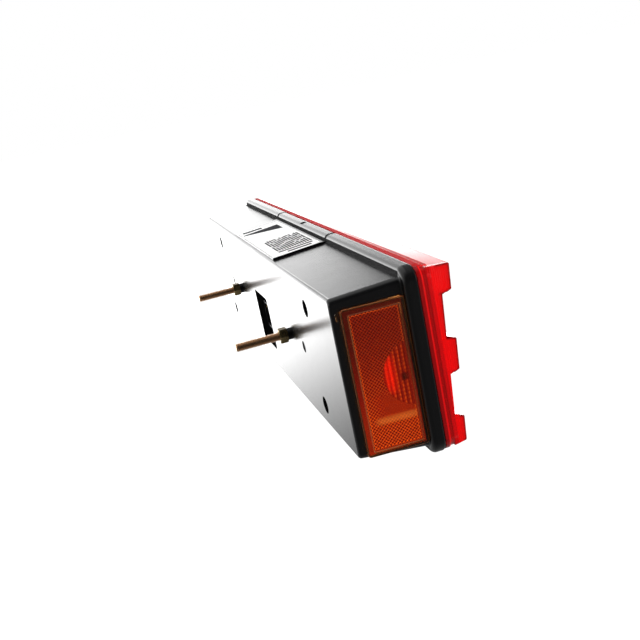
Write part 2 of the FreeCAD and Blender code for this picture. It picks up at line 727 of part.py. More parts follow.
def socket(name, x):
    """Pressed bayonet sleeve with a turned-out front edge that seats in the bottom of its bowl."""
    body = new_piece(f"{name}_socket", x)
    outer, wall = "(socket_diameter / 2)", "socket_wall"
    seat, front = "-bowl_bottom_depth", "-(bowl_bottom_depth + socket_flange_thick)"
    sketch = new_sketch(body, "XY_Plane", "body_rise")
    polygon(sketch, [
        (f"{outer} - {wall}", f"-{SOCKET_REAR}"), (outer, f"-{SOCKET_REAR}"), (outer, seat),
        (f"{outer} + socket_flange", seat), (f"{outer} + socket_flange", front), (f"{outer} - {wall}", front),
    ])
    revolve(sketch)


def bulb(name, x, two_contacts=False):
    """Bayonet bulb: brass base with its contact buttons, neck and round glass."""
    body = new_piece(f"{name}_bulb", x)
    base, neck, glass = "(bulb_base_diameter / 2)", "(bulb_neck_diameter / 2)", "(bulb_glass_diameter / 2)"
    rear = f"({STRIP_FRONT} + contact_height)"
    front = f"({rear} + bulb_base_length)"
    tip = f"({front} + bulb_glass_length)"
    sketch = new_sketch(body, "XY_Plane", "body_rise")
    crown = f"({glass} / sqrt(2))"
    polygon(sketch, [
        ("0", f"-{rear}"), (base, f"-{rear}"), (base, f"-{front}"), (neck, f"-{front}"),
        (glass, f"-({tip} - {glass})"), ("0", f"-{tip}"),
    ], {3: f"-({glass} + {crown})", 4: f"-{glass}"})
    revolve(sketch)
    spots = ["-contact_split / 2", "contact_split / 2"] if two_contacts else ["0"]
    contacts = new_sketch(body, "XZ_Plane", STRIP_FRONT)
    circles(contacts, [("0", f"body_rise + {spot}") for spot in spots], "(contact_diameter / 2)")
    feature("Pad", contacts, "contact_height")


def strip_outline(sketch, lanes):
    """Flat pressed strip as a chain of rectangles of the strip's width along lanes from corner to corner."""
    half = "strip_width / 2"
    left_side, right_side = [], []
    for number, (x, z) in enumerate(lanes):
        before = lanes[max(number - 1, 0)]
        after = lanes[min(number + 1, len(lanes) - 1)]
        spots = [(value(a), value(b)) for a, b in (before, (x, z), after)]
        turns = [(end[0] - start[0], end[1] - start[1]) for start, end in (spots[1:], spots[:2])]
        along = [turn for turn in turns if abs(turn[0]) + abs(turn[1]) > 0]
        signs = {0: 0, 1: 0}
        for dx, dz in along:
            if abs(dx) > abs(dz):
                signs[1] = math.copysign(1, dx)
            else:
                signs[0] = -math.copysign(1, dz)
        if len({abs(dx) > abs(dz) for dx, dz in along}) == 1:
            dx, dz = along[0]
            end = 1 if number == len(lanes) - 1 else -1
            if abs(dx) > abs(dz):
                signs[0] = end * math.copysign(1, dx)
            else:
                signs[1] = end * math.copysign(1, dz)
            cap = [signs[0], signs[1]]
            axis = 1 if abs(dx) > abs(dz) else 0
            other = list(cap)
            other[axis] = -cap[axis]
            left_side.append((f"{x} + {cap[0]} * {half}", f"{z} + {cap[1]} * {half}"))
            right_side.append((f"{x} + {other[0]} * {half}", f"{z} + {other[1]} * {half}"))
            continue
        left_side.append((f"{x} + {signs[0]} * {half}", f"{z} + {signs[1]} * {half}"))
        right_side.append((f"{x} - {signs[0]} * {half}", f"{z} - {signs[1]} * {half}"))
    polygon(sketch, left_side + right_side[::-1])


def feed_strip(name, lanes):
    """Brass strip from a connector pin to a bulb's contact, in one plane behind the sockets."""
    body = new_piece(f"{name}_strip")
    sketch = new_sketch(body, "XZ_Plane", "strip_depth")
    strip_outline(sketch, lanes)
    feature("Pad", sketch, "strip_thickness")
    return body


def feed_strips():
    """The five feeds. The tail feed also runs on to the side marker, where its end bends to the lens side."""
    upper = PIN_UPPER
    stop_height = "body_rise + contact_split / 2"
    for name, end, height in (("stop", "stop_tail", stop_height), ("fog", "fog", "body_rise")):
        pin, x = UPPER_PINS[name], BULBS[end]
        feed_strip(name, [(pin, upper), (pin, height), (x, height)])
    for name in ("indicator", "reversing"):
        pin, x = UPPER_PINS[name], BULBS[name]
        feed_strip(name, [(pin, upper), (pin, "upper_lane"), (x, "upper_lane"), (x, "body_rise")])
    marker_end = f"-({MARKER_INNER} - marker_socket_length)"
    lane_end = (f"{marker_end} + strip_width / 2", "-lower_lane")
    tail = feed_strip("tail", [(LOWER_PINS["tail"], "-lower_lane"), lane_end])
    contact = new_sketch(tail, "XZ_Plane", "strip_depth")
    x = BULBS["stop_tail"]
    contact_top = "body_rise - contact_split / 2 + contact_diameter / 2"
    rectangle(contact, f"{x} - strip_width / 2", "-lower_lane", f"{x} + strip_width / 2", contact_top)
    feature("Pad", contact, "strip_thickness")
    bend = new_sketch(tail, "XZ_Plane", "strip_depth")
    low, high = "-lower_lane - strip_width / 2", "-lower_lane + strip_width / 2"
    rectangle(bend, marker_end, low, f"{marker_end} + strip_thickness", high)
    feature("Pad", bend, "marker_bulb_depth - strip_depth")
    riser = new_sketch(tail, "XZ_Plane", "marker_bulb_depth - strip_width")
    rectangle(riser, marker_end, low, f"{marker_end} + strip_thickness", "-marker_socket_diameter / 4")
    feature("Pad", riser, "strip_width")


def earth_strip():
    """Common earth: a straight bar that every socket's sleeve passes through, with a tab to its pin."""
    body = new_piece("earth_strip")
    reach = f"(1.5 * {BULB_PITCH} + earth_width / 2)"
    marker_end = f"-({MARKER_INNER} - marker_socket_length)"
    sketch = new_sketch(body, "XZ_Plane", EARTH_DEPTH)
    low, high = "body_rise - earth_width / 2", "body_rise + earth_width / 2"
    rectangle(sketch, f"-{reach}", low, reach, high)
    feature("Pad", sketch, "strip_thickness")
    tab = new_sketch(body, "XZ_Plane", EARTH_DEPTH)
    rectangle(tab, "-strip_width / 2", f"{PIN_LOWER} - strip_width / 2", "strip_width / 2", "body_rise")
    feature("Pad", tab, "strip_thickness")
    tail = new_sketch(body, "XZ_Plane", EARTH_DEPTH)
    rectangle(tail, marker_end, "body_rise", f"-{reach} + strip_width", "body_rise + strip_width")
    feature("Pad", tail, "strip_thickness")
    bend = new_sketch(body, "XZ_Plane", EARTH_DEPTH)
    rectangle(bend, marker_end, "body_rise", f"{marker_end} + strip_thickness", "body_rise + strip_width")
    feature("Pad", bend, f"marker_bulb_depth - {EARTH_DEPTH}")
    holes = new_sketch(body, "XZ_Plane", EARTH_DEPTH)
    circles(holes, [(x, "body_rise") for x in BULBS.values()], "(socket_diameter / 2 + fit_gap / 2)")
    feature("Pocket", holes, "strip_thickness", reverse=True)


def connector_shell():
    """Recessed connector: a flange behind the back wall, a well, and a shroud round the pins."""
    body = new_piece("connector_shell")
    flange = new_sketch(body, "XZ_Plane", "wall_thickness")
    connector_mouth(flange, "connector_flange")
    feature("Pad", flange, "flange_thickness")
    well = new_sketch(body, "XZ_Plane", "wall_thickness")
    connector_mouth(well, "recess_wall")
    feature("Pad", well, "recess_depth + recess_floor - wall_thickness")
    inside = new_sketch(body, "XZ_Plane", "wall_thickness")
    connector_mouth(inside, "0")
    feature("Pocket", inside, "recess_depth - wall_thickness", reverse=True)
    shroud = new_sketch(body, "XZ_Plane", "recess_depth - shroud_depth")
    for inset in ("0", "shroud_wall"):
        half = f"(shroud_length / 2 - {inset})"
        low, high = [f"-connector_drop {sign} (shroud_height / 2 - {inset})" for sign in ("-", "+")]
        rectangle(shroud, f"-{half}", low, half, high, f"(connector_round - {inset})")
    feature("Pad", shroud, "shroud_depth + recess_floor / 2")
    holes = new_sketch(body, "XZ_Plane", "recess_depth")
    circles(holes, all_pins(), "(pin_diameter / 2 + fit_gap / 2)")
    feature("Pocket", holes, "recess_floor", reverse=True)


def all_pins():
    return [(x, PIN_UPPER) for x in UPPER_PINS.values()] + [(x, PIN_LOWER) for x in LOWER_PINS.values()]


def connector_pins():
    """Seven round pins through the recess floor: the feeds' end on their strips, the earth's on its bar."""
    body = new_piece("connector_pins")
    pins = new_sketch(body, "XZ_Plane", "recess_depth - pin_reach")
    circles(pins, all_pins(), "(pin_diameter / 2)")
    feature("Pad", pins, "strip_depth - recess_depth + pin_reach")
    earth = new_sketch(body, "XZ_Plane", "recess_depth")
    circles(earth, [(LOWER_PINS["earth"], PIN_LOWER)], "(pin_diameter / 2)")
    feature("Pad", earth, f"{EARTH_DEPTH} - recess_depth")


def end_wall(depth, out):
    """X of the tub's outer end face at a depth, moved out along X."""
    return f"-({side(depth, 'body_length')} + {out})"


def marker_plate(sketch, rear, front, inner, outer):
    """Plan of a plate along the drafted end face, between two depths and two distances out from the face."""
    polygon(sketch, [
        (end_wall(rear, inner), f"-({rear})"), (end_wall(rear, outer), f"-({rear})"),
        (end_wall(front, outer), f"-({front})"), (end_wall(front, inner), f"-({front})"),
    ])


def side_marker_lens():
    """Amber side marker on the outer end: a plate with a raised border and a small tab behind its top corner,
    and a skirt in the end wall's opening."""
    body = new_piece("side_marker_lens")
    bottom = f"(body_rise - {side(MARKER_REAR, 'body_height')} + marker_bottom_margin)"
    plate = new_sketch(body, "XY_Plane", bottom)
    marker_plate(plate, MARKER_REAR, MARKER_FRONT, "0", "marker_thickness")
    feature("Pad", plate, f"marker_top - {bottom}")
    tab = new_sketch(body, "XY_Plane", "marker_top - marker_tab_drop - marker_tab_height")
    tab_rear, tab_front = f"({MARKER_REAR} - marker_tab_reach)", f"({MARKER_REAR} + marker_border / 2)"
    marker_plate(tab, tab_rear, tab_front, "0", "(marker_thickness / 2)")
    feature("Pad", tab, "marker_tab_height")
    field = new_sketch(body, "XY_Plane", f"{bottom} + marker_sill")
    rear, front = f"({MARKER_REAR} + marker_border)", f"({MARKER_FRONT} - marker_rim)"
    inner, outer = [f"(marker_thickness {sign} marker_recess)" for sign in ("-", "+")]
    marker_plate(field, rear, front, inner, outer)
    feature("Pocket", field, f"marker_top - marker_border - ({bottom} + marker_sill)", reverse=True)
    marker_skirt(body)


def marker_skirt(body):
    """Thin frame behind the marker's plate, which fits the opening in the end wall."""
    front, low, rear, high = marker_mouth("-fit_gap")
    inset = "marker_tray_wall"
    skirt = new_sketch(body, "XY_Plane", low)
    marker_plate(skirt, f"-({rear})", f"-({front})", "-wall_thickness", "0")
    feature("Pad", skirt, f"{high} - ({low})")
    hollow = new_sketch(body, "XY_Plane", f"{low} + {inset}")
    marker_plate(hollow, f"-({rear}) + {inset}", f"-({front}) - {inset}", "-2 * wall_thickness", "0")
    feature("Pocket", hollow, f"{high} - ({low}) - 2 * {inset}", reverse=True)


def side_marker_tray():
    """White moulded tray behind the side marker, bonded to the inside of the end wall, open to the marker."""
    body = new_piece("side_marker_tray")
    front, low, rear, high = marker_mouth("marker_tray_wall")
    floor = f"-{MARKER_INNER}"
    outer = new_sketch(body, "XY_Plane", low)
    polygon(outer, [
        (floor, rear), (end_wall(f"-({rear})", "-wall_thickness"), rear),
        (end_wall(f"-({front})", "-wall_thickness"), front), (floor, front),
    ])
    feature("Pad", outer, f"{high} - ({low})")
    front, low, rear, high = marker_mouth("0")
    inner = new_sketch(body, "XY_Plane", low)
    inside = f"{floor} - marker_tray_wall"
    polygon(inner, [
        (inside, rear), (end_wall(f"-({rear})", "0"), rear),
        (end_wall(f"-({front})", "0"), front), (inside, front),
    ])
    feature("Pocket", inner, f"{high} - ({low})", reverse=True)
    hole = new_sketch(body, "YZ_Plane", f"{floor} - marker_tray_wall")
    circles(hole, [("-marker_bulb_depth", "0")], "(marker_bulb_diameter / 2 + fit_gap)")
    feature("Pocket", hole, "marker_tray_wall", reverse=True)


def side_marker_socket():
    """Round socket of the side marker's bulb, seated on the back of its tray."""
    body = new_piece("side_marker_socket")
    sketch = new_sketch(body, "YZ_Plane", f"-{MARKER_INNER}")
    circles(sketch, [("-marker_bulb_depth", "0")], "(marker_socket_diameter / 2)")
    feature("Pad", sketch, "marker_socket_length")
    bore = new_sketch(body, "YZ_Plane", f"-{MARKER_INNER}")
    circles(bore, [("-marker_bulb_depth", "0")], "(marker_bulb_diameter / 2 - marker_tray_wall + fit_gap)")
    feature("Pocket", bore, "marker_socket_length / 2", reverse=True)


def side_marker_bulb():
    """Wedge bulb of the side marker: a base in the socket and a round-ended glass, lying along X."""
    body = new_piece("side_marker_bulb")
    base = new_sketch(body, "YZ_Plane", f"-{MARKER_INNER}")
    circles(base, [("-marker_bulb_depth", "0")], "(marker_bulb_diameter / 2 - marker_tray_wall)")
    feature("Pad", base, "marker_socket_length / 2 - fit_gap")
    glass = new_sketch(body, "YZ_Plane", f"-{MARKER_INNER}")
    circles(glass, [("-marker_bulb_depth", "0")], "(marker_bulb_diameter / 2)")
    feature("Pad", glass, "marker_bulb_length", reverse=True)
    tip = f"-({MARKER_INNER} + marker_bulb_length)"
    fillet(body, "(marker_bulb_diameter / 2 - fit_gap)", lambda p, run: near(p.x, tip))


def plate_lamp_cover():
    """Blank over the number-plate lamp's aperture: a raised pad on the top face, with its length of rim."""
    body = new_piece("plate_lamp_cover")
    sketch = new_sketch(body, "YZ_Plane")
    rim_top = f"(body_rise + {RIM_HALF_HEIGHT})"
    front = f"({RIM_FRONT} - cover_gap)"
    pad_front = "(body_depth - pad_front_gap)"
    seat = cover_seat()
    seat[3] = (f"-{front}", COVER_STEP)
    polygon(sketch, seat + [
        (f"-{front}", f"{rim_top} - rim_front_round"), (f"-{front} + rim_front_round", rim_top),
        ("-body_depth - rim_rear_round", rim_top), ("-body_depth", f"{rim_top} - rim_rear_round"),
        ("-body_depth", f"({top_of_body('body_depth')} + cover_web)"),
        (f"-{pad_front}", f"({top_of_body(pad_front)} + cover_web)"),
        (f"-{pad_front}", f"({top_of_body(pad_front)} + cover_thickness)"),
        ("-cover_back_margin", f"({top_of_body('cover_back_margin')} + cover_thickness)"),
    ], {4: "-rim_front_round", 6: "-rim_rear_round"})
    feature("Pad", sketch, "cover_length - 2 * cover_gap", both_ways=True)
    plug = new_sketch(body, "XY_Plane", f"{top_of_body('0')} - wall_thickness + fit_gap")
    low, high = [f"(-body_depth / 2 {sign} (aperture_width / 2 - fit_gap))" for sign in ("-", "+")]
    edge = "(aperture_length / 2 - fit_gap)"
    rectangle(plug, f"-{edge}", low, edge, high, "connector_round")
    feature("Pad", plug, "wall_thickness + cover_rib_depth")
    hole = new_sketch(body, "XY_Plane", rim_top)
    circles(hole, [("0", COVER_SCREW_Y)], "(cover_screw_head / 2 + fit_gap)")
    feature("Pocket", hole, "cover_notch / 2")
    shank = new_sketch(body, "XY_Plane", rim_top)
    circles(shank, [("0", COVER_SCREW_Y)], "(cover_screw_diameter / 2 + fit_gap)")
    feature("Pocket", shank, "cover_notch + fit_gap")


def cover_screw():
    """Small screw that holds the blank in the rim, its head sunk in the bead."""
    body = new_piece("cover_screw")
    seat = f"(body_rise + {RIM_HALF_HEIGHT} - cover_notch / 2)"
    head = new_sketch(body, "XY_Plane", seat)
    circles(head, [("0", COVER_SCREW_Y)], "(cover_screw_head / 2)")
    feature("Pad", head, "cover_notch / 4")
    shank = new_sketch(body, "XY_Plane", seat)
    circles(shank, [("0", COVER_SCREW_Y)], "(cover_screw_diameter / 2)")
    feature("Pad", shank, "cover_screw_length", reverse=True)


def label():
    """Paper label on the blank's raised pad, from the outer end."""
    body = new_piece("label")
    rear = "(cover_back_margin + label_margin)"
    front = f"({rear} + label_width)"
    low = [f"({top_of_body(depth)} + cover_thickness)" for depth in (rear, front)]
    sketch = new_sketch(body, "YZ_Plane", f"-{COVER_HALF} + cover_gap + label_margin")
    polygon(sketch, [
        (f"-{rear}", low[0]), (f"-{front}", low[1]),
        (f"-{front}", f"{low[1]} + label_thickness"), (f"-{rear}", f"{low[0]} + label_thickness"),
    ])
    feature("Pad", sketch, "label_length")


def mounting_studs():
    """Two bolts held by their heads in the housing, with a relieved shank and a full-size free end."""
    body = new_piece("mounting_studs")
    seat = "(stud_boss_depth - stud_head_height - fit_gap)"
    head = new_sketch(body, "XZ_Plane", seat)
    hexagons(head, STUDS, "stud_head_width")
    feature("Pad", head, "stud_head_height")
    shank = new_sketch(body, "XZ_Plane", seat)
    circles(shank, STUDS, "(stud_diameter / 2 - shank_relief)")
    feature("Pad", shank, f"{seat} + {STAND_OFF}", reverse=True)
    free = new_sketch(body, "XZ_Plane", f"-{STAND_OFF}")
    circles(free, STUDS, "(stud_diameter / 2)")
    feature("Pad", free, "stud_free_length", reverse=True)
    tip = f"({STAND_OFF} + stud_free_length)"
    base = body.Tip
    names = [f"Edge{n}" for n, edge in enumerate(base.Shape.Edges, start=1) if near(edge.CenterOfMass.y, tip)]
    chamfer = body.newObject("PartDesign::Chamfer", "stud_chamfer")
    chamfer.Base = (base, names)
    chamfer.setExpression("Size", bound("stud_tip_chamfer"))
    doc.recompute()


def base_nuts():
    """The two nuts that clamp the studs to the housing's bosses."""
    body = new_piece("base_nuts")
    sketch = new_sketch(body, "XZ_Plane", "-boss_height")
    hexagons(sketch, STUDS, "nut_width")
    circles(sketch, STUDS, "(stud_diameter / 2 - shank_relief / 2)")
    feature("Pad", sketch, "nut_height", reverse=True)


def breather_plugs():
    """Rubber breather plugs: a flange inside the back wall and a body that fills the hole."""
    body = new_piece("breather_plugs")
    flange = new_sketch(body, "XZ_Plane", "wall_thickness")
    circles(flange, VENTS, "(vent_diameter / 2 + wall_thickness)")
    feature("Pad", flange, "wall_thickness / 2")
    stem = new_sketch(body, "XZ_Plane", "wall_thickness / 3")
    circles(stem, VENTS, "(vent_diameter / 2 - fit_gap)")
    feature("Pad", stem, "wall_thickness")


def build():
    housing()
    lens()
    lens_window("indicator_window", -1)
    lens_window("reversing_window", 1)
    lens_gasket()
    screws("lens_screws", WELLS, "well_depth", "lens_screw_length")
    reflector_tray()
    screws("tray_screws", POSTS, "(tray_seat_depth + tray_thickness)", "-(tray_screw_length - fit_gap)")
    for name, x in BULBS.items():
        socket(name, x)
        bulb(name, x, two_contacts=name == "stop_tail")
    feed_strips()
    earth_strip()
    connector_shell()
    connector_pins()
    side_marker_lens()
    side_marker_tray()
    side_marker_socket()
    side_marker_bulb()
    plate_lamp_cover()
    cover_screw()
    label()
    mounting_studs()
    base_nuts()
    breather_plugs()


def check():
    """Stop if any object failed, or a piece is empty or not valid."""
    for item in doc.Objects:
        if "Invalid" in item.State or "Error" in item.State:
            raise RuntimeError(f"{item.Label} failed: {item.State}")
    for body in PIECES:
        if body.Shape.isNull() or not body.Shape.isValid() or not body.Shape.Solids:
            raise RuntimeError(f"{body.Label} has no valid solid")


build()
doc.recompute()
check()
os.makedirs("parts", exist_ok=True)
for body in PIECES:
    body.Shape.exportStep(f"parts/{body.Label}.step")
print(len(PIECES), "pieces written")
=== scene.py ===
"""Looks of the left-hand truck tail light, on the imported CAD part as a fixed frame. Sizes in millimetres."""

import math

import bmesh
import bpy
import numpy as np
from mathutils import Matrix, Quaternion, Vector


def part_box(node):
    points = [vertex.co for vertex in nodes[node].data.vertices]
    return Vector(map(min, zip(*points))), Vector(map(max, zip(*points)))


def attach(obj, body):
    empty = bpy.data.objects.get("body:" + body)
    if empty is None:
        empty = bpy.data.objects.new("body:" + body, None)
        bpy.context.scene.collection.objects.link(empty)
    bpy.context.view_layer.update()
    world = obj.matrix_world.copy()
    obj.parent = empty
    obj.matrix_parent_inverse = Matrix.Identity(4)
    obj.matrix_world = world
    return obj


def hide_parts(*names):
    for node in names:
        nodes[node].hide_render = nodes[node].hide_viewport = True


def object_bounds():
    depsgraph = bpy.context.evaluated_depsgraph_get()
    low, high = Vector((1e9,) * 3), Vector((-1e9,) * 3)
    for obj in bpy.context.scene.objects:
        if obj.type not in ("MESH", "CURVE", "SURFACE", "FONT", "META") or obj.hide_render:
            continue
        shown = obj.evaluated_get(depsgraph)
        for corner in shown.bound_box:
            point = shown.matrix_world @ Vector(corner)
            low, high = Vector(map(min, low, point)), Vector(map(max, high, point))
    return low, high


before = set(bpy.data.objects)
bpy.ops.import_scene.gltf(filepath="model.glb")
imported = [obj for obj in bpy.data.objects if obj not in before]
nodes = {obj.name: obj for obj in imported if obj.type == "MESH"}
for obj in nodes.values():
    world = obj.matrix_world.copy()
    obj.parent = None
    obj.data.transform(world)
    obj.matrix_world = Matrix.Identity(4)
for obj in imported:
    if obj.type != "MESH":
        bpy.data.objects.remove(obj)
cad_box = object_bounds()

MM = 0.001

# Sizes that the part's source also has
STAND_OFF = 11.0
BODY_RISE = 1.5
BODY_HALF_LENGTH, BODY_HALF_HEIGHT = 288.5, 64.25
SLOPE = math.tan(math.radians(4.5))
LEAN = math.tan(math.radians(3.8))
STUDS_AT = (-118.5, 118.5)
STUD_FREE = 41.0
STUD_RADIUS = 4.0
STUD_CHAMFER = 1.0
NUT_WIDTH, NUT_HEIGHT = 13.0, 8.0
WELLS_AT = [(x, z) for x in (-207.5, 207.5) for z in (-43.0, 43.0)]
POSTS_AT = [(x, z) for x in (-103.75, 103.75) for z in (BODY_RISE - 48.0, BODY_RISE + 48.0)]
WELL_SEAT, POST_SEAT = 40.0, 62.5
BULBS_AT = {"indicator": -155.625, "stop_tail": -51.875, "fog": 51.875, "reversing": 155.625}
BULB_REAR, BULB_BASE, BULB_GLASS = 21.0, 17.0, 27.0
PAD_RISE, LABEL_THICK = 2.0, 0.2

# The side marker's cover, by depth and height. It reaches 2 mm nearer to the rim than the CAD's
MARKER_LOW, MARKER_HIGH = (6.5, -62.0), (55.6, 57.2)
FIELD_LOW, FIELD_HIGH = (12.5, -58.0), (51.2, 51.2)
MARKER_THICK, FIELD_THICK = 3.0, 1.8
TAB_LOW, TAB_HIGH, TAB_THICK = (3.1, 48.5), (6.45, 55.5), 1.5

# Camera solved from the photograph's straight edges
CAMERA_AT = (-895.1, 133.4, 227.1)
CAMERA_AIM = (-14.8, -64.6, -24.9)
CAMERA_ROLL = 11.84
CAMERA_LENS = 50.0
CAMERA_SENSOR = 36.0
CAMERA_CLIP = 10.0


def linear(code):
    """Linear colour with alpha from an sRGB hex code."""
    parts = np.array([int(code[i:i + 2], 16) for i in (1, 3, 5)]) / 255
    low, high = parts / 12.92, ((parts + 0.055) / 1.055) ** 2.4
    return (*np.where(parts <= 0.04045, low, high).tolist(), 1.0)


def add(tree, kind, inputs=None, **settings):
    """Adds one node with its settings. inputs maps a socket's name or number to a value, or to a socket that
    is linked to it."""
    made = tree.nodes.new("ShaderNode" + kind)
    for name, value in settings.items():
        setattr(made, name, value)
    for name, value in (inputs or {}).items():
        if isinstance(value, bpy.types.NodeSocket):
            tree.links.new(value, made.inputs[name])
        else:
            made.inputs[name].default_value = value
    return made


def maths(tree, operation, *values, **settings):
    """Result of one Math node on numbers or sockets."""
    return add(tree, "Math", dict(enumerate(values)), operation=operation, **settings).outputs[0]


def ramp(tree, value, start, stop, low=0.0, high=1.0, **settings):
    """Goes from a low to a high number while a value goes from start to stop, and is level outside them."""
    ends = {"From Min": start, "From Max": stop, "To Min": low, "To Max": high}
    return add(tree, "MapRange", {"Value": value, **ends}, **settings).outputs[0]


def mix(tree, share, first, second):
    """Number between two, each a number or a socket, by a share."""
    return add(tree, "Mix", {0: share, 2: first, 3: second}, data_type="FLOAT").outputs[0]


def blend(tree, share, first, second):
    """Colour between two, each a hex code or a socket, by a share."""
    first, second = [linear(c) if isinstance(c, str) else c for c in (first, second)]
    return add(tree, "Mix", {0: share, 6: first, 7: second}, data_type="RGBA").outputs[2]


def set_bumps(tree, shader, height, depth):
    """Bumps of a depth in millimetres, by a height from 0 to 1."""
    bump = add(tree, "Bump", {"Height": height, "Distance": depth * MM, "Strength": 1.0})
    tree.links.new(bump.outputs[0], shader.inputs["Normal"])


def new_material(name, **sockets):
    """A material with one Principled shader, whose sockets are given by their names with _ for a space."""
    made = bpy.data.materials.new(name)
    made.use_nodes = True
    tree = made.node_tree
    tree.nodes.clear()
    values = {key.replace("_", " "): value for key, value in sockets.items()}
    shader = add(tree, "BsdfPrincipled", values)
    output = add(tree, "OutputMaterial", {"Surface": shader.outputs[0]})
    return made, tree, shader, output


def dress(material, *names):
    """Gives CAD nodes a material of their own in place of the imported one."""
    for name in names:
        data = nodes[name].data
        data.materials.clear()
        data.materials.append(material)


def soften(name, width):
    """Rounds a CAD node's sharp edges by a width, after joining its faces there."""
    weld = nodes[name].modifiers.new("joined_edges", "WELD")
    weld.merge_threshold = 0.001 * MM
    bevel = nodes[name].modifiers.new("soft_edges", "BEVEL")
    bevel.width = width * MM
    bevel.segments = 2
    bevel.limit_method = "ANGLE"
    bevel.angle_limit = math.radians(38)
    bevel.use_clamp_overlap = True


def grid_faces(rows, columns, first, ring):
    """Four corners of every face of a grid of points. A ring's last column joins its first."""
    i, j = np.meshgrid(np.arange(rows - 1), np.arange(columns if ring else columns - 1), indexing="ij")
    k = (j + 1) % columns
    corners = [i * columns + j, i * columns + k, (i + 1) * columns + k, (i + 1) * columns + j]
    return first + np.stack(corners, axis=-1).reshape(-1, 4)


def make_piece(name, patches, material, stands_for=(), sharp=35.0, shades=None):
    """One piece from patches, each a grid of points in millimetres that is a ring across or not. Doubled
    points are merged, which closes seams and poles, and faces are turned outwards. Edges above the sharp
    angle stay crisp. shades maps an attribute's name to its value at every point."""
    points = np.concatenate([grid.reshape(-1, 3) for grid, _ in patches]) * MM
    faces, first = [], 0
    for grid, ring in patches:
        rows, columns = grid.shape[:2]
        faces.append(grid_faces(rows, columns, first, ring))
        first += rows * columns
    data = bpy.data.meshes.new(name)
    data.from_pydata(points.tolist(), [], np.concatenate(faces).tolist())
    for key, values in (shades or {}).items():
        layer = data.attributes.new(key, "FLOAT", "POINT")
        layer.data.foreach_set("value", np.concatenate([v.ravel() for v in values]).astype(np.float32))
    merged = bmesh.new()
    merged.from_mesh(data)
    bmesh.ops.remove_doubles(merged, verts=merged.verts, dist=1e-7)
    bmesh.ops.dissolve_degenerate(merged, edges=merged.edges, dist=1e-8)
    bmesh.ops.recalc_face_normals(merged, faces=merged.faces)
    merged.to_mesh(data)
    merged.free()
    data.shade_smooth()
    data.set_sharp_from_angle(angle=math.radians(sharp))
    data.materials.append(material)
    piece = bpy.data.objects.new(name, data)
    bpy.context.scene.collection.objects.link(piece)
    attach(piece, "root")
    if stands_for:
        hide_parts(*stands_for)


def around(count):
    """Angles of a number of even steps round a turn."""
    return np.arange(count) * 2 * math.pi / count


def turned(radius, along, columns, at, axis="y"):
    """A turned surface: at each row the radius, which may differ round the turn, is carried round a line
    through a place along y, x or z."""
    angle = around(columns)
    radius, along = np.broadcast_arrays(np.asarray(radius, float), np.asarray(along, float))
    a, b = radius * np.cos(angle), radius * np.sin(angle)
    order = {"y": (a, along, b), "x": (along, a, b), "z": (a, b, along)}[axis]
    return np.stack(np.broadcast_arrays(*order), axis=-1) + np.asarray(at, float)


def column(*values):
    """Numbers as a column, so that each one is a row of a turned surface."""
    return np.asarray(values, float)[:, None]


def thread(along, angle, pitch, crest, root):
    """Radius of a screw thread: flanks rise from the root to the crest with the distance from the helix,
    whose phase is the place along the axis less one pitch per turn."""
    phase = np.mod(along / pitch - angle / (2 * math.pi), 1)
    return root + (crest - root) * np.clip((np.abs(2 * phase - 1) - 0.2) / 0.65, 0, 1)


def make_studs(material):
    """Two studs: a thread of 1.25 mm pitch from inside the nut to a chamfered tip, with its foot in the
    nut."""
    columns, rows = 36, 430
    pitch, depth, foot, tip = 1.25, 0.68, 2.0, 2.0
    along = np.linspace(-foot, STUD_FREE, rows)[:, None]
    radius = thread(along, around(columns)[None, :], pitch, STUD_RADIUS, STUD_RADIUS - depth)
    radius = np.minimum(radius, STUD_RADIUS - np.maximum(along - STUD_FREE + STUD_CHAMFER, 0))
    closed = np.zeros((1, columns))
    radius = np.concatenate([closed, radius, np.full((1, columns), tip), closed])
    along = np.concatenate([along[:1], along, column(STUD_FREE, STUD_FREE)])
    studs = [(turned(radius, along, columns, (x, 0, 0)), True) for x in STUDS_AT]
    make_piece("stud_threads", studs, material, ["mounting_studs"], sharp=50)


def make_nuts(material):
    """Two hexagon nuts: the radius follows the six flats, and both faces fall away by a cone of 30 degrees
    outside a circle just under the width, which leaves the curved chamfer at each corner."""
    columns = 120
    turn = math.pi / 6
    angle = around(columns) + turn
    flat = NUT_WIDTH / 2 / np.cos(np.mod(angle, math.pi / 3) - turn)
    across = np.linspace(0, 1, 7)[:, None]
    washer = NUT_WIDTH / 2 * 0.95
    rim = washer + (flat - washer) * across
    fall = (rim - washer) * math.tan(math.radians(30))
    sunk = 0.6
    bore, sink = STUD_RADIUS - 0.2, STUD_RADIUS + sunk
    wide = np.ones((1, columns))
    radius = np.concatenate([bore * wide, sink * wide, rim, rim[::-1], sink * wide, bore * wide, bore * wide])
    along = np.concatenate([-sunk * wide, 0 * wide, -fall, fall[::-1] - NUT_HEIGHT, -NUT_HEIGHT * wide,
                            (sunk - NUT_HEIGHT) * wide, -sunk * wide])
    a, y, b = np.moveaxis(turned(radius, along, columns, (0, 0, 0)), -1, 0)
    c, s = math.cos(turn), math.sin(turn)
    nuts = [(np.stack([a * c - b * s + x, y, a * s + b * c], -1), True) for x in STUDS_AT]
    make_piece("nut_hexagons", nuts, material, ["base_nuts"], sharp=25)


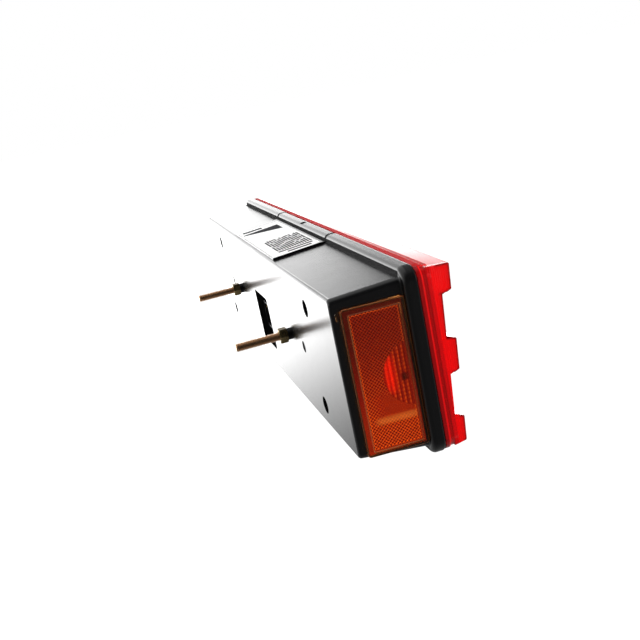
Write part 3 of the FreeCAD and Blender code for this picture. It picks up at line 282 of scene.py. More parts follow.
def cross_screw(head, height, shank, length, pitch):
    """Rows of a pan-head screw with its head's seat at 0 and its point below: a domed top with a cross sunk
    in it, a rolled edge, and a shank with a coarse thread down to a pointed end. Gives radius and
    height."""
    columns = 40
    angle = around(columns)[None, :]
    wide = np.ones((1, columns))
    flat = 0.86
    top = np.linspace(0, head * flat, 22)[:, None] * wide
    dome = height * (1 - 0.3 * (top / head) ** 2)
    x, z = np.abs(top * np.cos(angle)), np.abs(top * np.sin(angle))
    arm, reach = head * 0.15, head * 0.58
    inside = np.clip((arm - np.minimum(x, z)) / (0.3 * arm), 0, 1)
    inside = inside * np.clip((reach - top) / (0.2 * reach), 0, 1)
    dome = dome - inside * height * 0.55
    edge = np.linspace(0, math.pi / 2, 6)[:, None]
    roll_radius = head * (flat + 0.14 * np.sin(edge)) + 0 * angle
    roll_height = height * (0.45 + 0.328 * np.cos(edge)) + 0 * angle
    down = np.linspace(0, -length, int(length * 7))[:, None]
    shaft = thread(down, angle, pitch, shank, shank * 0.76)
    shaft = np.minimum(shaft, np.maximum((length + down) * 0.55, 0.05))
    radius = np.concatenate([top, roll_radius, head * wide, shaft, 0 * wide])
    along = np.concatenate([dome, roll_height, 0 * wide, down + 0 * angle, -length * wide])
    return radius, along, columns


def make_screws(material, dark):
    """Lens screws up the wells, tray screws in their posts, and the small screw of the number-plate blank."""
    radius, along, columns = cross_screw(head=4.0, height=2.6, shank=2.0, length=22.0, pitch=1.8)
    wells = [(turned(radius, along - STAND_OFF - WELL_SEAT, columns, (x, 0, z)), True) for x, z in WELLS_AT]
    make_piece("well_screws", wells, material, ["lens_screws"])
    radius, along, columns = cross_screw(head=4.0, height=2.6, shank=2.0, length=15.9, pitch=1.8)
    posts = [(turned(radius, -along - STAND_OFF - POST_SEAT, columns, (x, 0, z)), True) for x, z in POSTS_AT]
    make_piece("post_screws", posts, material, ["tray_screws"])
    low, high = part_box("cover_screw")
    rise = 1.05
    radius, along, columns = cross_screw(head=2.5, height=rise, shank=1.2, length=6.0, pitch=1.0)
    seat = high.z / MM - rise
    middle = ((low.x + high.x) / 2 / MM, (low.y + high.y) / 2 / MM, 0)
    cover = [(turned(radius, along + seat, columns, middle, "z"), True)]
    make_piece("blank_screw", cover, dark, ["cover_screw"])


def tube(path, radius, sides):
    """A round wire: a circle carried along a path, square to it at each point, with closed ends."""
    along = np.gradient(path, axis=0)
    along /= np.linalg.norm(along, axis=1, keepdims=True)
    guide = np.array([0.31, 0.17, 0.93])
    first = np.cross(along, guide)
    first /= np.linalg.norm(first, axis=1, keepdims=True)
    second = np.cross(along, first)
    angle = around(sides)
    ring = first[:, None] * np.cos(angle)[:, None] + second[:, None] * np.sin(angle)[:, None]
    body = path[:, None] + radius * ring
    ends = [np.repeat(path[[n]][:, None], sides, axis=1) for n in (0, -1)]
    return np.concatenate([ends[0], body, ends[1]])


def bulb_glass(at, front, centre, ball):
    """Blown glass of a bulb: a ball on a neck, out and back in with a thin wall."""
    neck, wall = 6.2, 0.6
    turn = np.linspace(0, math.pi - math.asin(neck / ball), 40)[:, None]
    outer = np.concatenate([ball * np.sin(turn), column(neck, neck)])
    depth = np.concatenate([centre + ball * np.cos(turn), column(front + 1.5, front - 1.0)])
    inner = np.maximum(outer - wall, 0)
    inner_depth = centre + (depth - centre) * (1 - wall / ball * (depth > centre))
    radius = np.concatenate([outer, inner[::-1]])
    along = -np.concatenate([depth, inner_depth[::-1]]) - STAND_OFF
    return [(turned(radius, along, 48, at), True)]


def bulb_cap(at):
    """Brass cap of a bulb: a tip, a barrel with a rolled edge, and two side pins."""
    rows = column(0, 1.6, 1.8, 5.5, 6.6, 7.3, 7.5, 7.5, 7.9, 7.9, 7.5, 7.5, 7.0, 6.4, 0)
    depth = column(-1.2, -1.2, -0.4, 0.0, 0.3, 1.0, 2.0, 14.6, 15.0, 15.8, 16.2, 16.8, 17.0, 16.6, 16.6)
    cap = [(turned(rows, -(BULB_REAR + depth) - STAND_OFF, 48, at), True)]
    pins_at = (at[0], -(BULB_REAR + 9.0) - STAND_OFF, at[2])
    for sign in (-1, 1):
        reach = sign * column(9.4, 9.4, 9.1, 6.5, 6.5)
        cap.append((turned(column(0, 0.9, 1.0, 1.0, 0), reach, 16, pins_at, "x"), True))
    return cap


def bulb_filament(at, front, centre):
    """Coiled filament across a bulb's middle, on two wires that spread a little as they rise from the cap."""
    x, _, z = at
    turns = np.linspace(0, 1, 240)
    span, coil_radius, angle = 5.6, 0.55, turns * 2 * math.pi * 14
    coil = np.stack([x + span * (turns - 0.5), -centre - STAND_OFF + coil_radius * np.cos(angle),
                     z + coil_radius * np.sin(angle)], -1)
    wires = [(tube(coil, 0.12, 6), True)]
    rise = np.linspace(0, 1, 24)
    bend = 1.6 + 1.2 * rise ** 2
    along = -(front - 1 + (centre - front + 1) * rise) - STAND_OFF
    for sign in (-1, 1):
        wires.append((tube(np.stack([x + sign * bend, along, z + 0 * rise], -1), 0.22, 8), True))
    return wires


def make_bulbs(glass, brass, tungsten):
    """Bayonet bulbs, each a glass, a cap and a filament."""
    ball = 12.5
    front = BULB_REAR + BULB_BASE
    centre = front + BULB_GLASS - ball
    for name, x in BULBS_AT.items():
        at = (x, 0, BODY_RISE)
        blown = bulb_glass(at, front, centre, ball)
        make_piece(f"{name}_bulb_glass", blown, glass, [f"{name}_bulb"])
        make_piece(f"{name}_bulb_cap", bulb_cap(at), brass)
        make_piece(f"{name}_bulb_filament", bulb_filament(at, front, centre), tungsten)


def rounded_ring(low, high, radius, count=9):
    """Points round a rectangle whose corners are quarter turns of a radius."""
    turn = np.arange(4)[:, None] * math.pi / 2 + np.linspace(0, math.pi / 2, count)
    a = np.where([True, False, False, True], high[0] - radius, low[0] + radius)[:, None]
    b = np.where([True, True, False, False], high[1] - radius, low[1] + radius)[:, None]
    return np.stack([a + radius * np.cos(turn), b + radius * np.sin(turn)], axis=-1).reshape(-1, 2)


def on_end_wall(depth, height, out):
    """Points by depth below the back plane, height, and distance out from the drafted outer end wall."""
    x = -(BODY_HALF_LENGTH + depth * SLOPE) - out
    return np.stack(np.broadcast_arrays(x, -depth - STAND_OFF, height), axis=-1)


def ring_rows(steps, low, high, inner_low, inner_high, radius):
    """Rings between an outer and an inner rectangle. Each step is a share of the way in and a distance out;
    a share of None is the middle point."""
    rows = []
    for share, out in steps:
        if share is None:
            middle = (np.asarray(inner_low) + inner_high) / 2
            ring = rounded_ring(middle, middle, 0.0)
        else:
            a = np.asarray(low) * (1 - share) + np.asarray(inner_low) * share
            b = np.asarray(high) * (1 - share) + np.asarray(inner_high) * share
            ring = rounded_ring(a, b, radius * (1 - 0.6 * min(share, 1)))
        rows.append(on_end_wall(ring[:, 0], ring[:, 1], out))
    return np.stack(rows)


def make_marker_cover(material):
    """Side marker's outer skin: rings run up the outside, over a rounded border, down a bevel to the field
    and in to the middle, and back along a hollow underside. A tab of the same kind stands behind the top
    corner. The edge shade is a painted highlight: 1 along the border's outer edge and less on its bevel."""
    thick, field, hollow = MARKER_THICK, FIELD_THICK, 1.15
    outside = [(0, 0), (0, thick - 0.7), (0.04, thick - 0.3), (0.1, thick - 0.07), (0.17, thick),
               (0.74, thick), (0.8, thick - 0.08), (0.93, field + 0.22), (0.98, field + 0.04),
               (1.03, field), (1.2, field), (None, field)]
    # Painted highlight by ring row: the edge shade, highest at the border's outer edge
    painted_edge_light = [0, 0, 1, 0.3, 0, 0, 0.05, 0.5, 0.3, 0, 0, 0]
    inside = [(None, hollow), (0.3, hollow), (0.3, 0), (0, 0)]
    box = (MARKER_LOW, MARKER_HIGH, FIELD_LOW, FIELD_HIGH, 2.5)
    tab = [(None, 0), (0, 0), (0, TAB_THICK - 0.4), (0.3, TAB_THICK), (None, TAB_THICK)]
    tab_inner = (np.asarray(TAB_LOW) + 1.2, np.asarray(TAB_HIGH) - 1.2)
    grids = [ring_rows(outside, *box), ring_rows(inside, *box),
             ring_rows(tab, TAB_LOW, TAB_HIGH, *tab_inner, 1.6)]
    # Edge shade for every row, the painted highlight; the tab and the underside get none
    edges = [np.zeros(grid.shape[:2]) for grid in grids]
    edges[0] = edges[0] + column(*painted_edge_light)
    make_piece("marker_cover", [(grid, True) for grid in grids], material, ["side_marker_lens"],
               sharp=60, shades={"edge": edges})


# Reflex prisms of the side marker, as wide as the photograph shows them, and its optic in front of the bulb
PRISM_PITCH = 2.9
OPTIC_AT, OPTIC_RADIUS = (56.0, -3.5), 26.0
FLUTE_PITCH, RIDGE_PITCH = 3.6, 3.4
BAR_AT, BAR_HALF = -36.0, 3.2
SPOT_AT, SPOT_SIZE = (46.0, -5.0), (2.8, 3.4)
# Place and size of the bulb's painted glow in the optic
GLOW_AT, GLOW_SIZE = (35.0, -1.0), (4.2, 15.0)


def fade(value, low, high):
    """0 below the low value and 1 above the high one, with a smooth step between."""
    t = np.clip((value - low) / (high - low), 0, 1)
    return t * t * (3 - 2 * t)


def make_marker_prisms(material):
    """Inner face of the side marker, a relief over depth d and height z. Prisms are pyramids on a diagonal
    net, one less the larger distance from the two net lines through u = (d + z) / pitch and v = (d - z) /
    pitch. In the optic, a part of a disc at the front edge, upright flutes follow the cosine of d and low
    ridges that of z. A smooth bar crosses the field near its foot, and above it the prisms are nearly
    flat."""
    step = PRISM_PITCH / 8
    d = np.arange(MARKER_LOW[0] + 1.7, MARKER_HIGH[0] - 1.4, step)[None, :]
    z = np.arange(MARKER_LOW[1] + 1.6, MARKER_HIGH[1] - 1.7, step)[:, None]
    d, z = np.broadcast_arrays(d, z)
    u, v = np.mod((d + z) / PRISM_PITCH, 1), np.mod((d - z) / PRISM_PITCH, 1)
    net = np.maximum(np.abs(2 * u - 1), np.abs(2 * v - 1))
    inset_d = np.minimum(d - FIELD_LOW[0], FIELD_HIGH[0] - d)
    inset = np.minimum(inset_d, np.minimum(z - FIELD_LOW[1], FIELD_HIGH[1] - z))
    field = fade(inset, 0.3, 0.7)
    away = np.hypot(d - OPTIC_AT[0], z - OPTIC_AT[1])
    optic = fade(OPTIC_RADIUS - away, -0.3, 0.6) * field
    flute = np.abs(np.cos(math.pi * (d - FIELD_HIGH[0]) / FLUTE_PITCH))
    ridge = 0.5 + 0.5 * np.cos(2 * math.pi * z / RIDGE_PITCH)
    bar = fade(BAR_HALF - np.abs(z - BAR_AT), -1.2, 2.4) * fade(d, 15.0, 24.0) * field
    plain = fade(z, -36, -33) * fade(-z, 8, 22) * fade(d, 17, 30) * field * (1 - optic)
    out = 0.25 + 0.65 * (1 - net) * field * (1 - optic) * (1 - bar) * (1 - 0.8 * plain)
    out = out + optic * (0.45 * (1 - flute) + 0.15 * ridge) + 0.2 * bar

    # Tone, with light painted in: dark prisms that throw back the dim room, with bright lines between them for
    # the light their edges let through, and a painted lighter low part for more light from below. It is also
    # brighter in the first row, and has a dark spot
    painted_light_below = fade(-z, -45, 50)
    lines = fade(net, 0.55, 0.95)
    prisms = 0.16 * painted_light_below + lines * (0.46 + 0.28 * painted_light_below)
    prisms = prisms * (1 - plain) + plain * 0.42
    first_row = fade(PRISM_PITCH - inset, 0.9, 1.7)
    prisms = prisms + first_row * lines * 0.5
    flutes = 0.2 + 0.45 * fade(flute, 0.74, 0.96) * (1 - 0.6 * ridge) + 0.1 * painted_light_below
    tone = (prisms * (1 - optic) + flutes * optic) * field + (0.04 + 0.36 * painted_light_below) * (1 - field)
    spot = np.exp(-((d - SPOT_AT[0]) / SPOT_SIZE[0]) ** 4 - ((z - SPOT_AT[1]) / SPOT_SIZE[1]) ** 4)
    tone = np.clip(tone * (1 - 0.9 * spot), 0, 1)

    # Painted glow of the bulb seen through the optic: a red patch put into the colour
    glow = np.exp(-((d - GLOW_AT[0]) / GLOW_SIZE[0]) ** 2 - ((z - GLOW_AT[1]) / GLOW_SIZE[1]) ** 4)
    glow = glow * optic * (1 - spot) * (0.65 + 0.35 * fade(flute, 0.3, 0.9))

    grid = on_end_wall(np.pad(d, 1, mode="edge"), np.pad(z, 1, mode="edge"), np.pad(out, 1))
    loop = np.concatenate([grid[0, :-1], grid[:-1, -1], grid[-1, :0:-1], grid[:0:-1, 0]])
    back = np.stack([loop, np.broadcast_to(loop.mean(axis=0), loop.shape)])
    # Shades for the colour: the tone, the painted glow, and a painted reflection that lightens the smooth bar
    shades = {"tone": tone, "glow": glow, "bar_reflection": 0.45 * bar}
    for key, value in shades.items():
        shades[key] = [np.pad(value, 1, mode="edge"), np.zeros(back.shape[:2])]
    patches = [(grid, False), (back, True)]
    make_piece("marker_prisms", patches, material, sharp=80, shades=shades)


def make_label_print(material):
    """Plain printed shapes on the label, each a four-sided slab of ink: a tapered bar and a short bar at
    the far end, rows of strokes of seeded lengths, and two thin bars along the near edge."""
    low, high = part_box("label")
    left, right = low.x / MM, high.x / MM
    paper = BODY_RISE + BODY_HALF_HEIGHT + PAD_RISE + LABEL_THICK
    half_ink = 0.02

    def patch(corners):
        x, d = np.asarray(corners, float).T
        ring = np.stack([x, -d - STAND_OFF, paper + d * SLOPE], -1)
        rows = [ring - (0, 0, half_ink), ring + (0, 0, half_ink)]
        return np.stack([0 * ring + rows[0].mean(axis=0), *rows, 0 * ring + rows[1].mean(axis=0)])

    def box(x0, d0, x1, d1):
        return patch([(x0, d0), (x1, d0), (x1, d1), (x0, d1)])

    patches = [patch([(right - 22, 6), (right - 26, 6), (right - 48, 46), (right - 18, 46)]),
               box(right - 14, 8, right - 6, 30), box(left + 5, 20, left + 10, 44),
               box(left + 14, 13, left + 19, 47.4)]
    seeded = np.random.default_rng(7)
    rows_start, last_start, rows_stop = left + 22, left + 80, left + 86
    row_pitch, row_width = 2.6, 1.8
    for d in np.arange(13, 47, row_pitch):
        ends = rows_start + np.cumsum(seeded.uniform((14, 2), (34, 4), (6, 2)).ravel())
        for start, stop in zip(np.concatenate([[rows_start], ends[1::2]]), ends[::2]):
            if start < last_start:
                patches.append(box(start, d, min(stop, rows_stop), d + row_width))
    make_piece("label_print", [(slab, True) for slab in patches], material)


# Scale of a wave texture times its period in metres, and straightened depths of the lens's inner faces
WAVE = 0.314
INNER_WALLS = (91.3, 98.7)


def finish(tree, shader, size, depth, rough, spread, stretch=(1, 1, 1)):
    """Noise of a size in millimetres, drawn out by a stretch: bumps of a depth, and a roughness that goes
    up and down by a spread."""
    place = add(tree, "TexCoord").outputs["Object"]
    scale = [1 / (size * MM * s) for s in stretch]
    place = add(tree, "Mapping", {"Vector": place, "Scale": scale}).outputs[0]
    noise = add(tree, "TexNoise", {"Vector": place, "Scale": 1.0, "Detail": 2.0}).outputs[0]
    tree.links.new(ramp(tree, noise, 0.3, 0.7, rough - spread, rough + spread), shader.inputs["Roughness"])
    set_bumps(tree, shader, noise, depth)
    return noise


def inner_flutes(tree, coordinates):
    """Height of upright flutes of 5 mm on the lens's inner faces, which are those that look back at the two
    straightened depths of its wall."""
    place = coordinates.outputs["Object"]
    flutes = add(tree, "TexWave", {"Vector": place, "Scale": WAVE / (5.0 * MM)}, bands_direction="X")
    lean = {0: place, 1: (0, -1, -LEAN)}
    straight = add(tree, "VectorMath", lean, operation="DOT_PRODUCT").outputs["Value"]
    walls = [maths(tree, "COMPARE", straight, at * MM, 0.7 * MM) for at in INNER_WALLS]
    facing = add(tree, "SeparateXYZ", {0: coordinates.outputs["Normal"]})
    behind = maths(tree, "GREATER_THAN", facing.outputs["Y"], 0.5)
    inside = maths(tree, "MULTIPLY", maths(tree, "MAXIMUM", *walls), behind)
    return maths(tree, "MULTIPLY", flutes.outputs["Fac"], inside)


def lets_lamps_through(tree, shader, output, colour):
    """Lamps reach what is behind the piece, tinted once at each face by the root of a colour through both."""
    path = add(tree, "LightPath")
    tint = (*np.sqrt(linear(colour)[:3]).tolist(), 1.0)
    clear = add(tree, "BsdfTransparent", {"Color": tint})
    choice = {0: path.outputs["Is Shadow Ray"], 1: shader.outputs[0], 2: clear.outputs[0]}
    tree.links.new(add(tree, "MixShader", choice).outputs[0], output.inputs["Surface"])


# Matt places on the rim bead, as x, half length, y and half width: beside both seams, round the cover's
# screw, and along the groove
MATT_PLACES = [(101.5, 3.0, -72.5, 6.5), (-97.0, 3.0, -72.5, 6.5), (0.0, 5.0, -71.75, 2.6),
               (0.0, 290.0, -66.05, 1.25)]


def black_polypropylene():
    """Moulded polypropylene: deep black, with a satin skin that turns mirror-like at a low angle. The skin
    is a little wavy, softer on the rim bead, and matt in the bead's groove, where it was cut for the
    number-plate blank, and where it was spot-faced for its screw."""
    made, tree, shader, _ = new_material("moulded_polypropylene", Base_Color=linear("#0D0D0E"), IOR=1.5)
    place = add(tree, "TexCoord").outputs["Object"]
    fine = add(tree, "TexNoise", {"Vector": place, "Scale": 1 / (0.8 * MM), "Detail": 2.0})
    wavy = add(tree, "TexNoise", {"Vector": place, "Scale": 1 / (22 * MM), "Detail": 1.0})
    set_bumps(tree, shader, maths(tree, "MULTIPLY_ADD", wavy.outputs[0], 6.0, fine.outputs[0]), 0.01)
    part = add(tree, "SeparateXYZ", {0: place})
    matt = 0.0
    for x, half, y, reach in MATT_PLACES:
        across = maths(tree, "COMPARE", part.outputs["X"], x * MM, half * MM)
        along = maths(tree, "COMPARE", part.outputs["Y"], y * MM, reach * MM)
        matt = maths(tree, "MAXIMUM", maths(tree, "MULTIPLY", across, along), matt)
    bead = ramp(tree, part.outputs["Y"], -64 * MM, -68 * MM, 0.23, 0.27)
    tree.links.new(mix(tree, matt, bead, 0.95), shader.inputs["Roughness"])
    return made


# Colours of the lens's end, by depth below the back plane, with light and shade painted in: a stepped flange
# over the black rim, dark with bright and dark lines along its steps, then the clear ribs, bright for the
# light they carry
END_LIGHT_BANDS = [(67.5, "#86070A"), (70.2, "#9C080B"), (70.8, "#FF1418"), (71.8, "#F00A0E"), (72.4, "#A2080A"),
             (75.0, "#9A0608"), (76.0, "#D0080C"), (78.6, "#D8080C"), (79.4, "#FA0508"), (91.0, "#FA0508")]

# Where the lens's masks begin and are full: its ends by x, its flange's front and its ribs by depth
LENS_END, FLANGE_FRONT, RIB_FOOT = (292.0, 293.5), (73.5, 74.5), (82.0, 84.0)
# Radius of the rounded normal for the painted dark outline on the ends
OUTLINE_RADIUS = 4.0


def red_acrylic():
    """Moulded acrylic, red all through: polished and clear in front, glowing on top, matt on the flange over
    the
    rim. Light and shade are painted in: its ends glow in stripes of red, the flange is a darker red, and the
    ends darken along the ribs' edges. Fine lines from the mould are on the ends, and flutes inside spread
    the bulbs' light."""
    made, tree, shader, output = new_material("red_acrylic", IOR=1.49, Coat_IOR=1.55)
    coordinates = add(tree, "TexCoord")
    place = coordinates.outputs["Object"]
    part = add(tree, "SeparateXYZ", {0: place})

    def by_depth(start, stop):
        return ramp(tree, part.outputs["Y"], -(start + STAND_OFF) * MM, -(stop + STAND_OFF) * MM)

    # Masks of the ends, of all in front of the flange, and of the ribs
    length = maths(tree, "ABSOLUTE", part.outputs["X"])
    at_end = ramp(tree, length, LENS_END[0] * MM, LENS_END[1] * MM)
    front = by_depth(*FLANGE_FRONT)
    ribs = by_depth(*RIB_FOOT)

    # Colour, with the painted stripes of light and shade and a painted dark outline on the ends, where a
    # rounded normal leaves the true one
    first, last = END_LIGHT_BANDS[0][0], END_LIGHT_BANDS[-1][0]
    bands = add(tree, "ValToRGB", {"Fac": by_depth(first, last)})
    stops = bands.color_ramp.elements
    for number, (at, code) in enumerate(END_LIGHT_BANDS):
        stop = stops[number] if number < 2 else stops.new(1.0)
        stop.position = (at - first) / (last - first)
        stop.color = linear(code)
    normals = {0: add(tree, "Bevel", {"Radius": OUTLINE_RADIUS * MM}).outputs[0],
               1: add(tree, "NewGeometry").outputs["True Normal"]}
    turn = add(tree, "VectorMath", normals, operation="DOT_PRODUCT")
    corner = maths(tree, "MULTIPLY", ramp(tree, turn.outputs["Value"], 0.99, 0.88), ribs)
    painted_end_colour = blend(tree, corner, bands.outputs[0], "#300103")
    # Painted shade: the flange over the rim is a darker red than the lens in front of it
    colour = blend(tree, at_end, blend(tree, front, "#BC060C", "#FA0508"), painted_end_colour)
    tree.links.new(colour, shader.inputs["Base Color"])

    # Clearness, roughness and coat
    facing = add(tree, "SeparateXYZ", {0: coordinates.outputs["Normal"]})
    upper = ramp(tree, facing.outputs["Z"], 0.4, 0.7, 0.86, 0.3)
    clear = mix(tree, at_end, mix(tree, front, 0.2, upper), 0.2)
    tree.links.new(clear, shader.inputs["Transmission Weight"])
    polished = maths(tree, "MAXIMUM", front, at_end)
    tree.links.new(ramp(tree, polished, 0, 1, 0.75, 0.08), shader.inputs["Roughness"])
    coat = maths(tree, "SUBTRACT", front, at_end, use_clamp=True)
    tree.links.new(coat, shader.inputs["Coat Weight"])

    # Lines on the ends and flutes inside
    lines = add(tree, "TexWave", {"Vector": place, "Scale": WAVE / (1.7 * MM)}, bands_direction="Y")
    lines = maths(tree, "MULTIPLY", lines.outputs["Fac"], at_end)
    flutes = inner_flutes(tree, coordinates)
    set_bumps(tree, shader, maths(tree, "MULTIPLY_ADD", flutes, 5.0, lines), 0.1)
    lets_lamps_through(tree, shader, output, "#FF2A2E")
    return made


def tinted_acrylic(name, colour, transmission):
    """Moulded acrylic for a window in the lens: clear colour all through, polished outside and fluted
    inside."""
    made, tree, shader, output = new_material(
        name, Base_Color=linear(colour), Roughness=0.06, IOR=1.49, Transmission_Weight=transmission)
    set_bumps(tree, shader, inner_flutes(tree, add(tree, "TexCoord")), 0.5)
    lets_lamps_through(tree, shader, output, colour)
    return made


def amber_cover():
    """Clear amber acrylic: its edges gather light, painted in as a less clear orange-brown line by the edge
    shade.
    """
    made, tree, shader, output = new_material("amber_acrylic_cover", Roughness=0.05, IOR=1.49)
    edge = add(tree, "Attribute", attribute_name="edge").outputs["Fac"]
    tree.links.new(blend(tree, edge, "#FFB060", "#B84C1C"), shader.inputs["Base Color"])
    tree.links.new(maths(tree, "MULTIPLY_ADD", edge, -0.45, 1.0), shader.inputs["Transmission Weight"])
    lets_lamps_through(tree, shader, output, "#FFB870")
    return made


def amber_prisms():
    """Amber acrylic moulded with fine prisms, with light painted into its colour: deep red-brown where a prism
    throws the dim room back, orange along its edges for the light they let through, a painted red glow where
    the bulb shows through the optic, and a painted whitish reflection on the smooth bar."""
    made, tree, shader, _ = new_material(
        "amber_acrylic_prisms", Roughness=0.35, IOR=1.49, Specular_IOR_Level=0.25)
    tone, glow, bar_reflection = [add(tree, "Attribute", attribute_name=key).outputs["Fac"]
                        for key in ("tone", "glow", "bar_reflection")]
    tones = add(tree, "ValToRGB", {"Fac": tone})
    stops = tones.color_ramp.elements
    stops[0].color = linear("#2C0803")
    stops[1].color = linear("#EEB064")
    for at, code in ((0.3, "#701E08"), (0.6, "#9E5A18")):
        stops.new(at).color = linear(code)
    # Painted light in the colour: the bulb's painted glow and the bar's painted reflection go over the tones
    colour = blend(tree, bar_reflection, blend(tree, glow, tones.outputs[0], "#D42C0A"), "#C4D2FF")
    tree.links.new(colour, shader.inputs["Base Color"])
    return made


def plated_steel(name, colour, other, rough):
    """Steel with a thin passivated zinc coat: a soft metal sheen whose tint drifts in blots of a few
    millimetres, as the bath leaves it."""
    made, tree, shader, _ = new_material(name, Metallic=1.0)
    noise = finish(tree, shader, 2.5, 0.01, rough, 0.08)
    tree.links.new(blend(tree, noise, colour, other), shader.inputs["Base Color"])
    return made


def finished(name, colour, rough, spread, size, depth, stretch=(1, 1, 1), **more):
    """A material of one colour with the finish that its making leaves."""
    made, tree, shader, _ = new_material(name, Base_Color=linear(colour), **more)
    finish(tree, shader, size, depth, rough, spread, stretch)
    return made


def blown_glass():
    """Blown glass: clear, with slow waves that bend what is seen through it."""
    colour = "#F6F8F8"
    made, tree, shader, output = new_material(
        "blown_glass", Base_Color=linear(colour), Transmission_Weight=0.95)
    finish(tree, shader, 9.0, 0.03, 0.02, 0.01)
    lets_lamps_through(tree, shader, output, colour)
    return made


def dress_all():
    """Each CAD node's material, and the pieces made here with theirs."""
    dress(black_polypropylene(), "housing", "plate_lamp_cover")
    dress(red_acrylic(), "lens")
    soften("lens", 0.7)
    dress(tinted_acrylic("amber_acrylic", "#F07A12", 0.75), "indicator_window")
    dress(tinted_acrylic("clear_acrylic", "#F4F6F6", 0.95), "reversing_window")
    # Foamed sheet, cut: dull, with the pits of its open cells
    dress(finished("foamed_rubber", "#1B1B1C", 0.8, 0.1, 1.2, 0.1), "lens_gasket")
    # Moulded rubber: dull with a faint bloom
    dress(finished("moulded_rubber", "#171718", 0.6, 0.1, 3.0, 0.02), "breather_plugs")
    # Aluminium coated on in a vacuum: a mirror with a slight orange peel
    mirror = finished("metallised_polycarbonate", "#DADCDD", 0.08, 0.03, 6.0, 0.02, Metallic=1.0)
    dress(mirror, "reflector_tray")
    # Rolled strip, pressed: a yellow sheen with faint lines along it from the rolls
    brass = finished("pressed_brass", "#CDAA66", 0.3, 0.1, 0.6, 0.01, (30, 1, 1), Metallic=1.0)
    sockets = [f"{name}_socket" for name in BULBS_AT]
    strips = [f"{name}_strip" for name in ("earth", "stop", "tail", "indicator", "fog", "reversing")]
    dress(brass, *sockets, *strips, "connector_pins")
    glass = blown_glass()
    dress(glass, "side_marker_bulb")
    # Moulded nylon: black with a fine blasted grain
    nylon = finished("moulded_nylon", "#141415", 0.42, 0.08, 0.7, 0.02)
    dress(nylon, "connector_shell", "side_marker_socket")
    # Moulded polystyrene: white and smooth, with slow sink waves
    dress(finished("white_polystyrene", "#E6E6E2", 0.35, 0.08, 14.0, 0.05), "side_marker_tray")
    # Coated paper: white, with fibres that just show through the coat
    dress(finished("coated_paper", "#F8F8F6", 0.4, 0.1, 0.6, 0.01, (5, 1, 1)), "label")
    make_studs(plated_steel("yellow_zinc_steel", "#D2A878", "#BC9C84", 0.36))
    make_nuts(plated_steel("olive_zinc_steel", "#8E7A50", "#786C50", 0.3))
    # Painted steel: flat black, so that the sunk screw reads as a dark hole
    painted = finished("black_painted_steel", "#0C0C0C", 0.85, 0.1, 0.5, 0.01, Specular_IOR_Level=0.1)
    make_screws(plated_steel("bright_zinc_steel", "#B9BBBD", "#A9ADB4", 0.3), painted)
    # Drawn wire: grey metal with fine lines along it
    wire = finished("drawn_tungsten", "#8A8C8E", 0.35, 0.1, 0.2, 0.005, (8, 1, 1), Metallic=1.0)
    make_bulbs(glass, brass, wire)
    make_marker_cover(amber_cover())
    make_marker_prisms(amber_prisms())
    # Printed ink: dark grey and flat, a little uneven in its cover
    ink = finished("printing_ink", "#303034", 0.85, 0.1, 0.8, 0.002, Specular_IOR_Level=0.1)
    make_label_print(ink)


def set_camera():
    """Camera at the photograph's viewing angle."""
    camera = bpy.data.objects.new("camera", bpy.data.cameras.new("camera"))
    bpy.context.scene.collection.objects.link(camera)
    at, aim = Vector(CAMERA_AT) * MM, Vector(CAMERA_AIM) * MM
    camera.location = at
    camera.rotation_mode = "QUATERNION"
    roll = Quaternion((0, 0, 1), math.radians(-CAMERA_ROLL))
    camera.rotation_quaternion = (aim - at).to_track_quat("-Z", "Y") @ roll
    camera.data.lens = CAMERA_LENS
    camera.data.sensor_width = CAMERA_SENSOR
    camera.data.clip_start = CAMERA_CLIP * MM
    bpy.context.scene.camera = camera


# The studio: a lit white sweep behind the lamp, no wider than the reflections in the photograph show, and a
# dim room behind the camera. Levels are of brightness, with 1 as white
ROOM_LEVEL, SIDE_LEVEL = 0.03, 0.2
BACKDROP_LEVEL = 4.0
FLOOR_DROP, FLOOR_HALF = 300.0, 20000.0
FLOOR_SHADE, FLOOR_WHITE = 0.15, 1.14
SWEEP_STARTS, SWEEP_LIT = 250.0, 1600.0
SWEEP_DIM_LEVEL, SWEEP_LEVEL = 0.45, 5.0
NEAR_DIM, NEAR_LIT, NEAR_LEVEL = -700.0, -100.0, 0.2
KEY_AT, KEY_AIM, KEY_LEVEL = (-1400, -1000, 300), (-250, -60, 0), 4.0
TOP_AT, TOP_AIM, TOP_LEVEL = (100, 200, 1500), (0, 0, 0), 1.5
SOFTBOX_SIZE = (1500, 1500)


def white_to_camera(tree, level, white=1.0):
    """White for what the camera sees, also straight through clear pieces. Reflections show the given level,
    and what lights the object is that level, no higher than 1."""
    path = add(tree, "LightPath").outputs
    bounces = maths(tree, "ADD", path["Diffuse Depth"], path["Glossy Depth"])
    direct = maths(tree, "LESS_THAN", bounces, 0.5)
    clear = maths(tree, "MULTIPLY", path["Is Transmission Ray"], direct)
    seen = maths(tree, "MAXIMUM", path["Is Camera Ray"], clear)
    plain = maths(tree, "MINIMUM", level, 1.0)
    shown = mix(tree, path["Is Glossy Ray"], plain, level)
    return mix(tree, seen, shown, white)


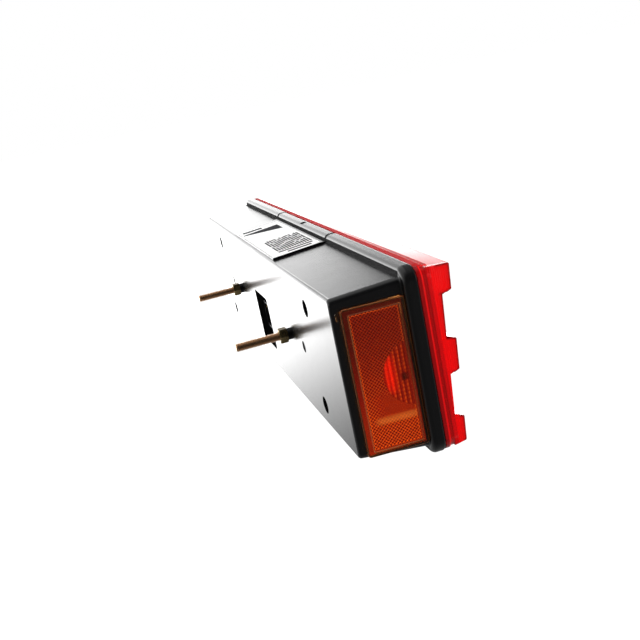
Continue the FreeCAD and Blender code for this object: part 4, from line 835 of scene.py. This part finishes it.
def set_world():
    """Plain surroundings that fade to a dim room on the camera's side, by the x of the direction, with the
    lit backdrop behind the lamp as a soft-edged patch by its y and z, which is wider low down."""
    world = bpy.data.worlds.new("studio")
    bpy.context.scene.world = world
    world.use_nodes = True
    world.cycles.sampling_method = "NONE"
    tree = world.node_tree
    tree.nodes.clear()
    place = add(tree, "TexCoord")
    part = add(tree, "SeparateXYZ", {0: place.outputs["Generated"]})

    def by(axis, start, stop):
        return ramp(tree, part.outputs[axis], start, stop, interpolation_type="SMOOTHSTEP")

    away, behind, across = by("X", -0.75, 0.1), by("X", 0.2, 0.6), by("Y", -0.33, -0.15)
    below, low, wide = by("Z", 0.38, 0.1), by("Z", 0.18, 0.1), by("Z", 0.205, 0.135)
    side = ramp(tree, maths(tree, "MAXIMUM", across, low), 0, 1, SIDE_LEVEL, 1.0)
    room = maths(tree, "MULTIPLY", ramp(tree, away, 0, 1, ROOM_LEVEL, 1.0), side)
    patch = maths(tree, "MULTIPLY", behind, maths(tree, "MAXIMUM", across, wide))
    patch = maths(tree, "MULTIPLY", patch, below)
    level = maths(tree, "MULTIPLY_ADD", patch, BACKDROP_LEVEL - 1, room)
    back = add(tree, "Background", {"Color": (1, 1, 1, 1), "Strength": white_to_camera(tree, level)})
    add(tree, "OutputWorld", {"Surface": back.outputs[0]})


def set_floor():
    """Pale paper sweep below the lamp. It is white to the camera but for a faint shadow, and in reflections
    it gets brighter towards the lit backdrop."""
    low, half = cad_box[0].z - FLOOR_DROP * MM, FLOOR_HALF * MM
    corners = [(-half, -half, low), (half, -half, low), (half, half, low), (-half, half, low)]
    data = bpy.data.meshes.new("floor")
    data.from_pydata(corners, [], [(0, 1, 2, 3)])
    floor = bpy.data.objects.new("floor", data)
    bpy.context.scene.collection.objects.link(floor)
    made = bpy.data.materials.new("pale_paper_sweep")
    made.use_nodes = True
    made.cycles.emission_sampling = "NONE"
    tree = made.node_tree
    tree.nodes.clear()
    place = add(tree, "TexCoord")
    x = add(tree, "SeparateXYZ", {0: place.outputs["Object"]}).outputs["X"]
    room = ramp(tree, x, NEAR_DIM * MM, NEAR_LIT * MM, NEAR_LEVEL, 1.0)
    sweep = ramp(tree, x, SWEEP_STARTS * MM, SWEEP_LIT * MM, SWEEP_DIM_LEVEL, SWEEP_LEVEL,
                 interpolation_type="SMOOTHSTEP")
    level = white_to_camera(tree, maths(tree, "MULTIPLY", sweep, room), FLOOR_WHITE)
    matt = add(tree, "BsdfDiffuse", {"Color": linear("#F2F2F2")})
    white = add(tree, "Emission", {"Color": (1, 1, 1, 1), "Strength": level})
    path = add(tree, "LightPath")
    share = ramp(tree, path.outputs["Is Camera Ray"], 0, 1, 1.0, 1 - FLOOR_SHADE)
    mixed = add(tree, "MixShader", {0: share, 1: matt.outputs[0], 2: white.outputs[0]})
    add(tree, "OutputMaterial", {"Surface": mixed.outputs[0]})
    data.materials.append(made)


def softbox(name, at, aim, level):
    """Soft lamp pointed at a place, whose face has a level of brightness."""
    data = bpy.data.lights.new(name, "AREA")
    data.shape = "RECTANGLE"
    data.size, data.size_y = SOFTBOX_SIZE[0] * MM, SOFTBOX_SIZE[1] * MM
    data.energy = level * math.pi * data.size * data.size_y
    lamp = bpy.data.objects.new(name, data)
    bpy.context.scene.collection.objects.link(lamp)
    lamp.location = Vector(at) * MM
    lamp.rotation_mode = "QUATERNION"
    lamp.rotation_quaternion = (Vector(aim) * MM - lamp.location).to_track_quat("-Z", "Y")
    lamp.visible_camera = False
    lamp.visible_glossy = False


def set_studio():
    """Camera, surroundings, floor and two lamps."""
    bpy.context.scene.view_settings.view_transform = "Standard"
    set_camera()
    set_world()
    set_floor()
    softbox("key_softbox", KEY_AT, KEY_AIM, KEY_LEVEL)
    softbox("top_softbox", TOP_AT, TOP_AIM, TOP_LEVEL)


dress_all()
set_studio()
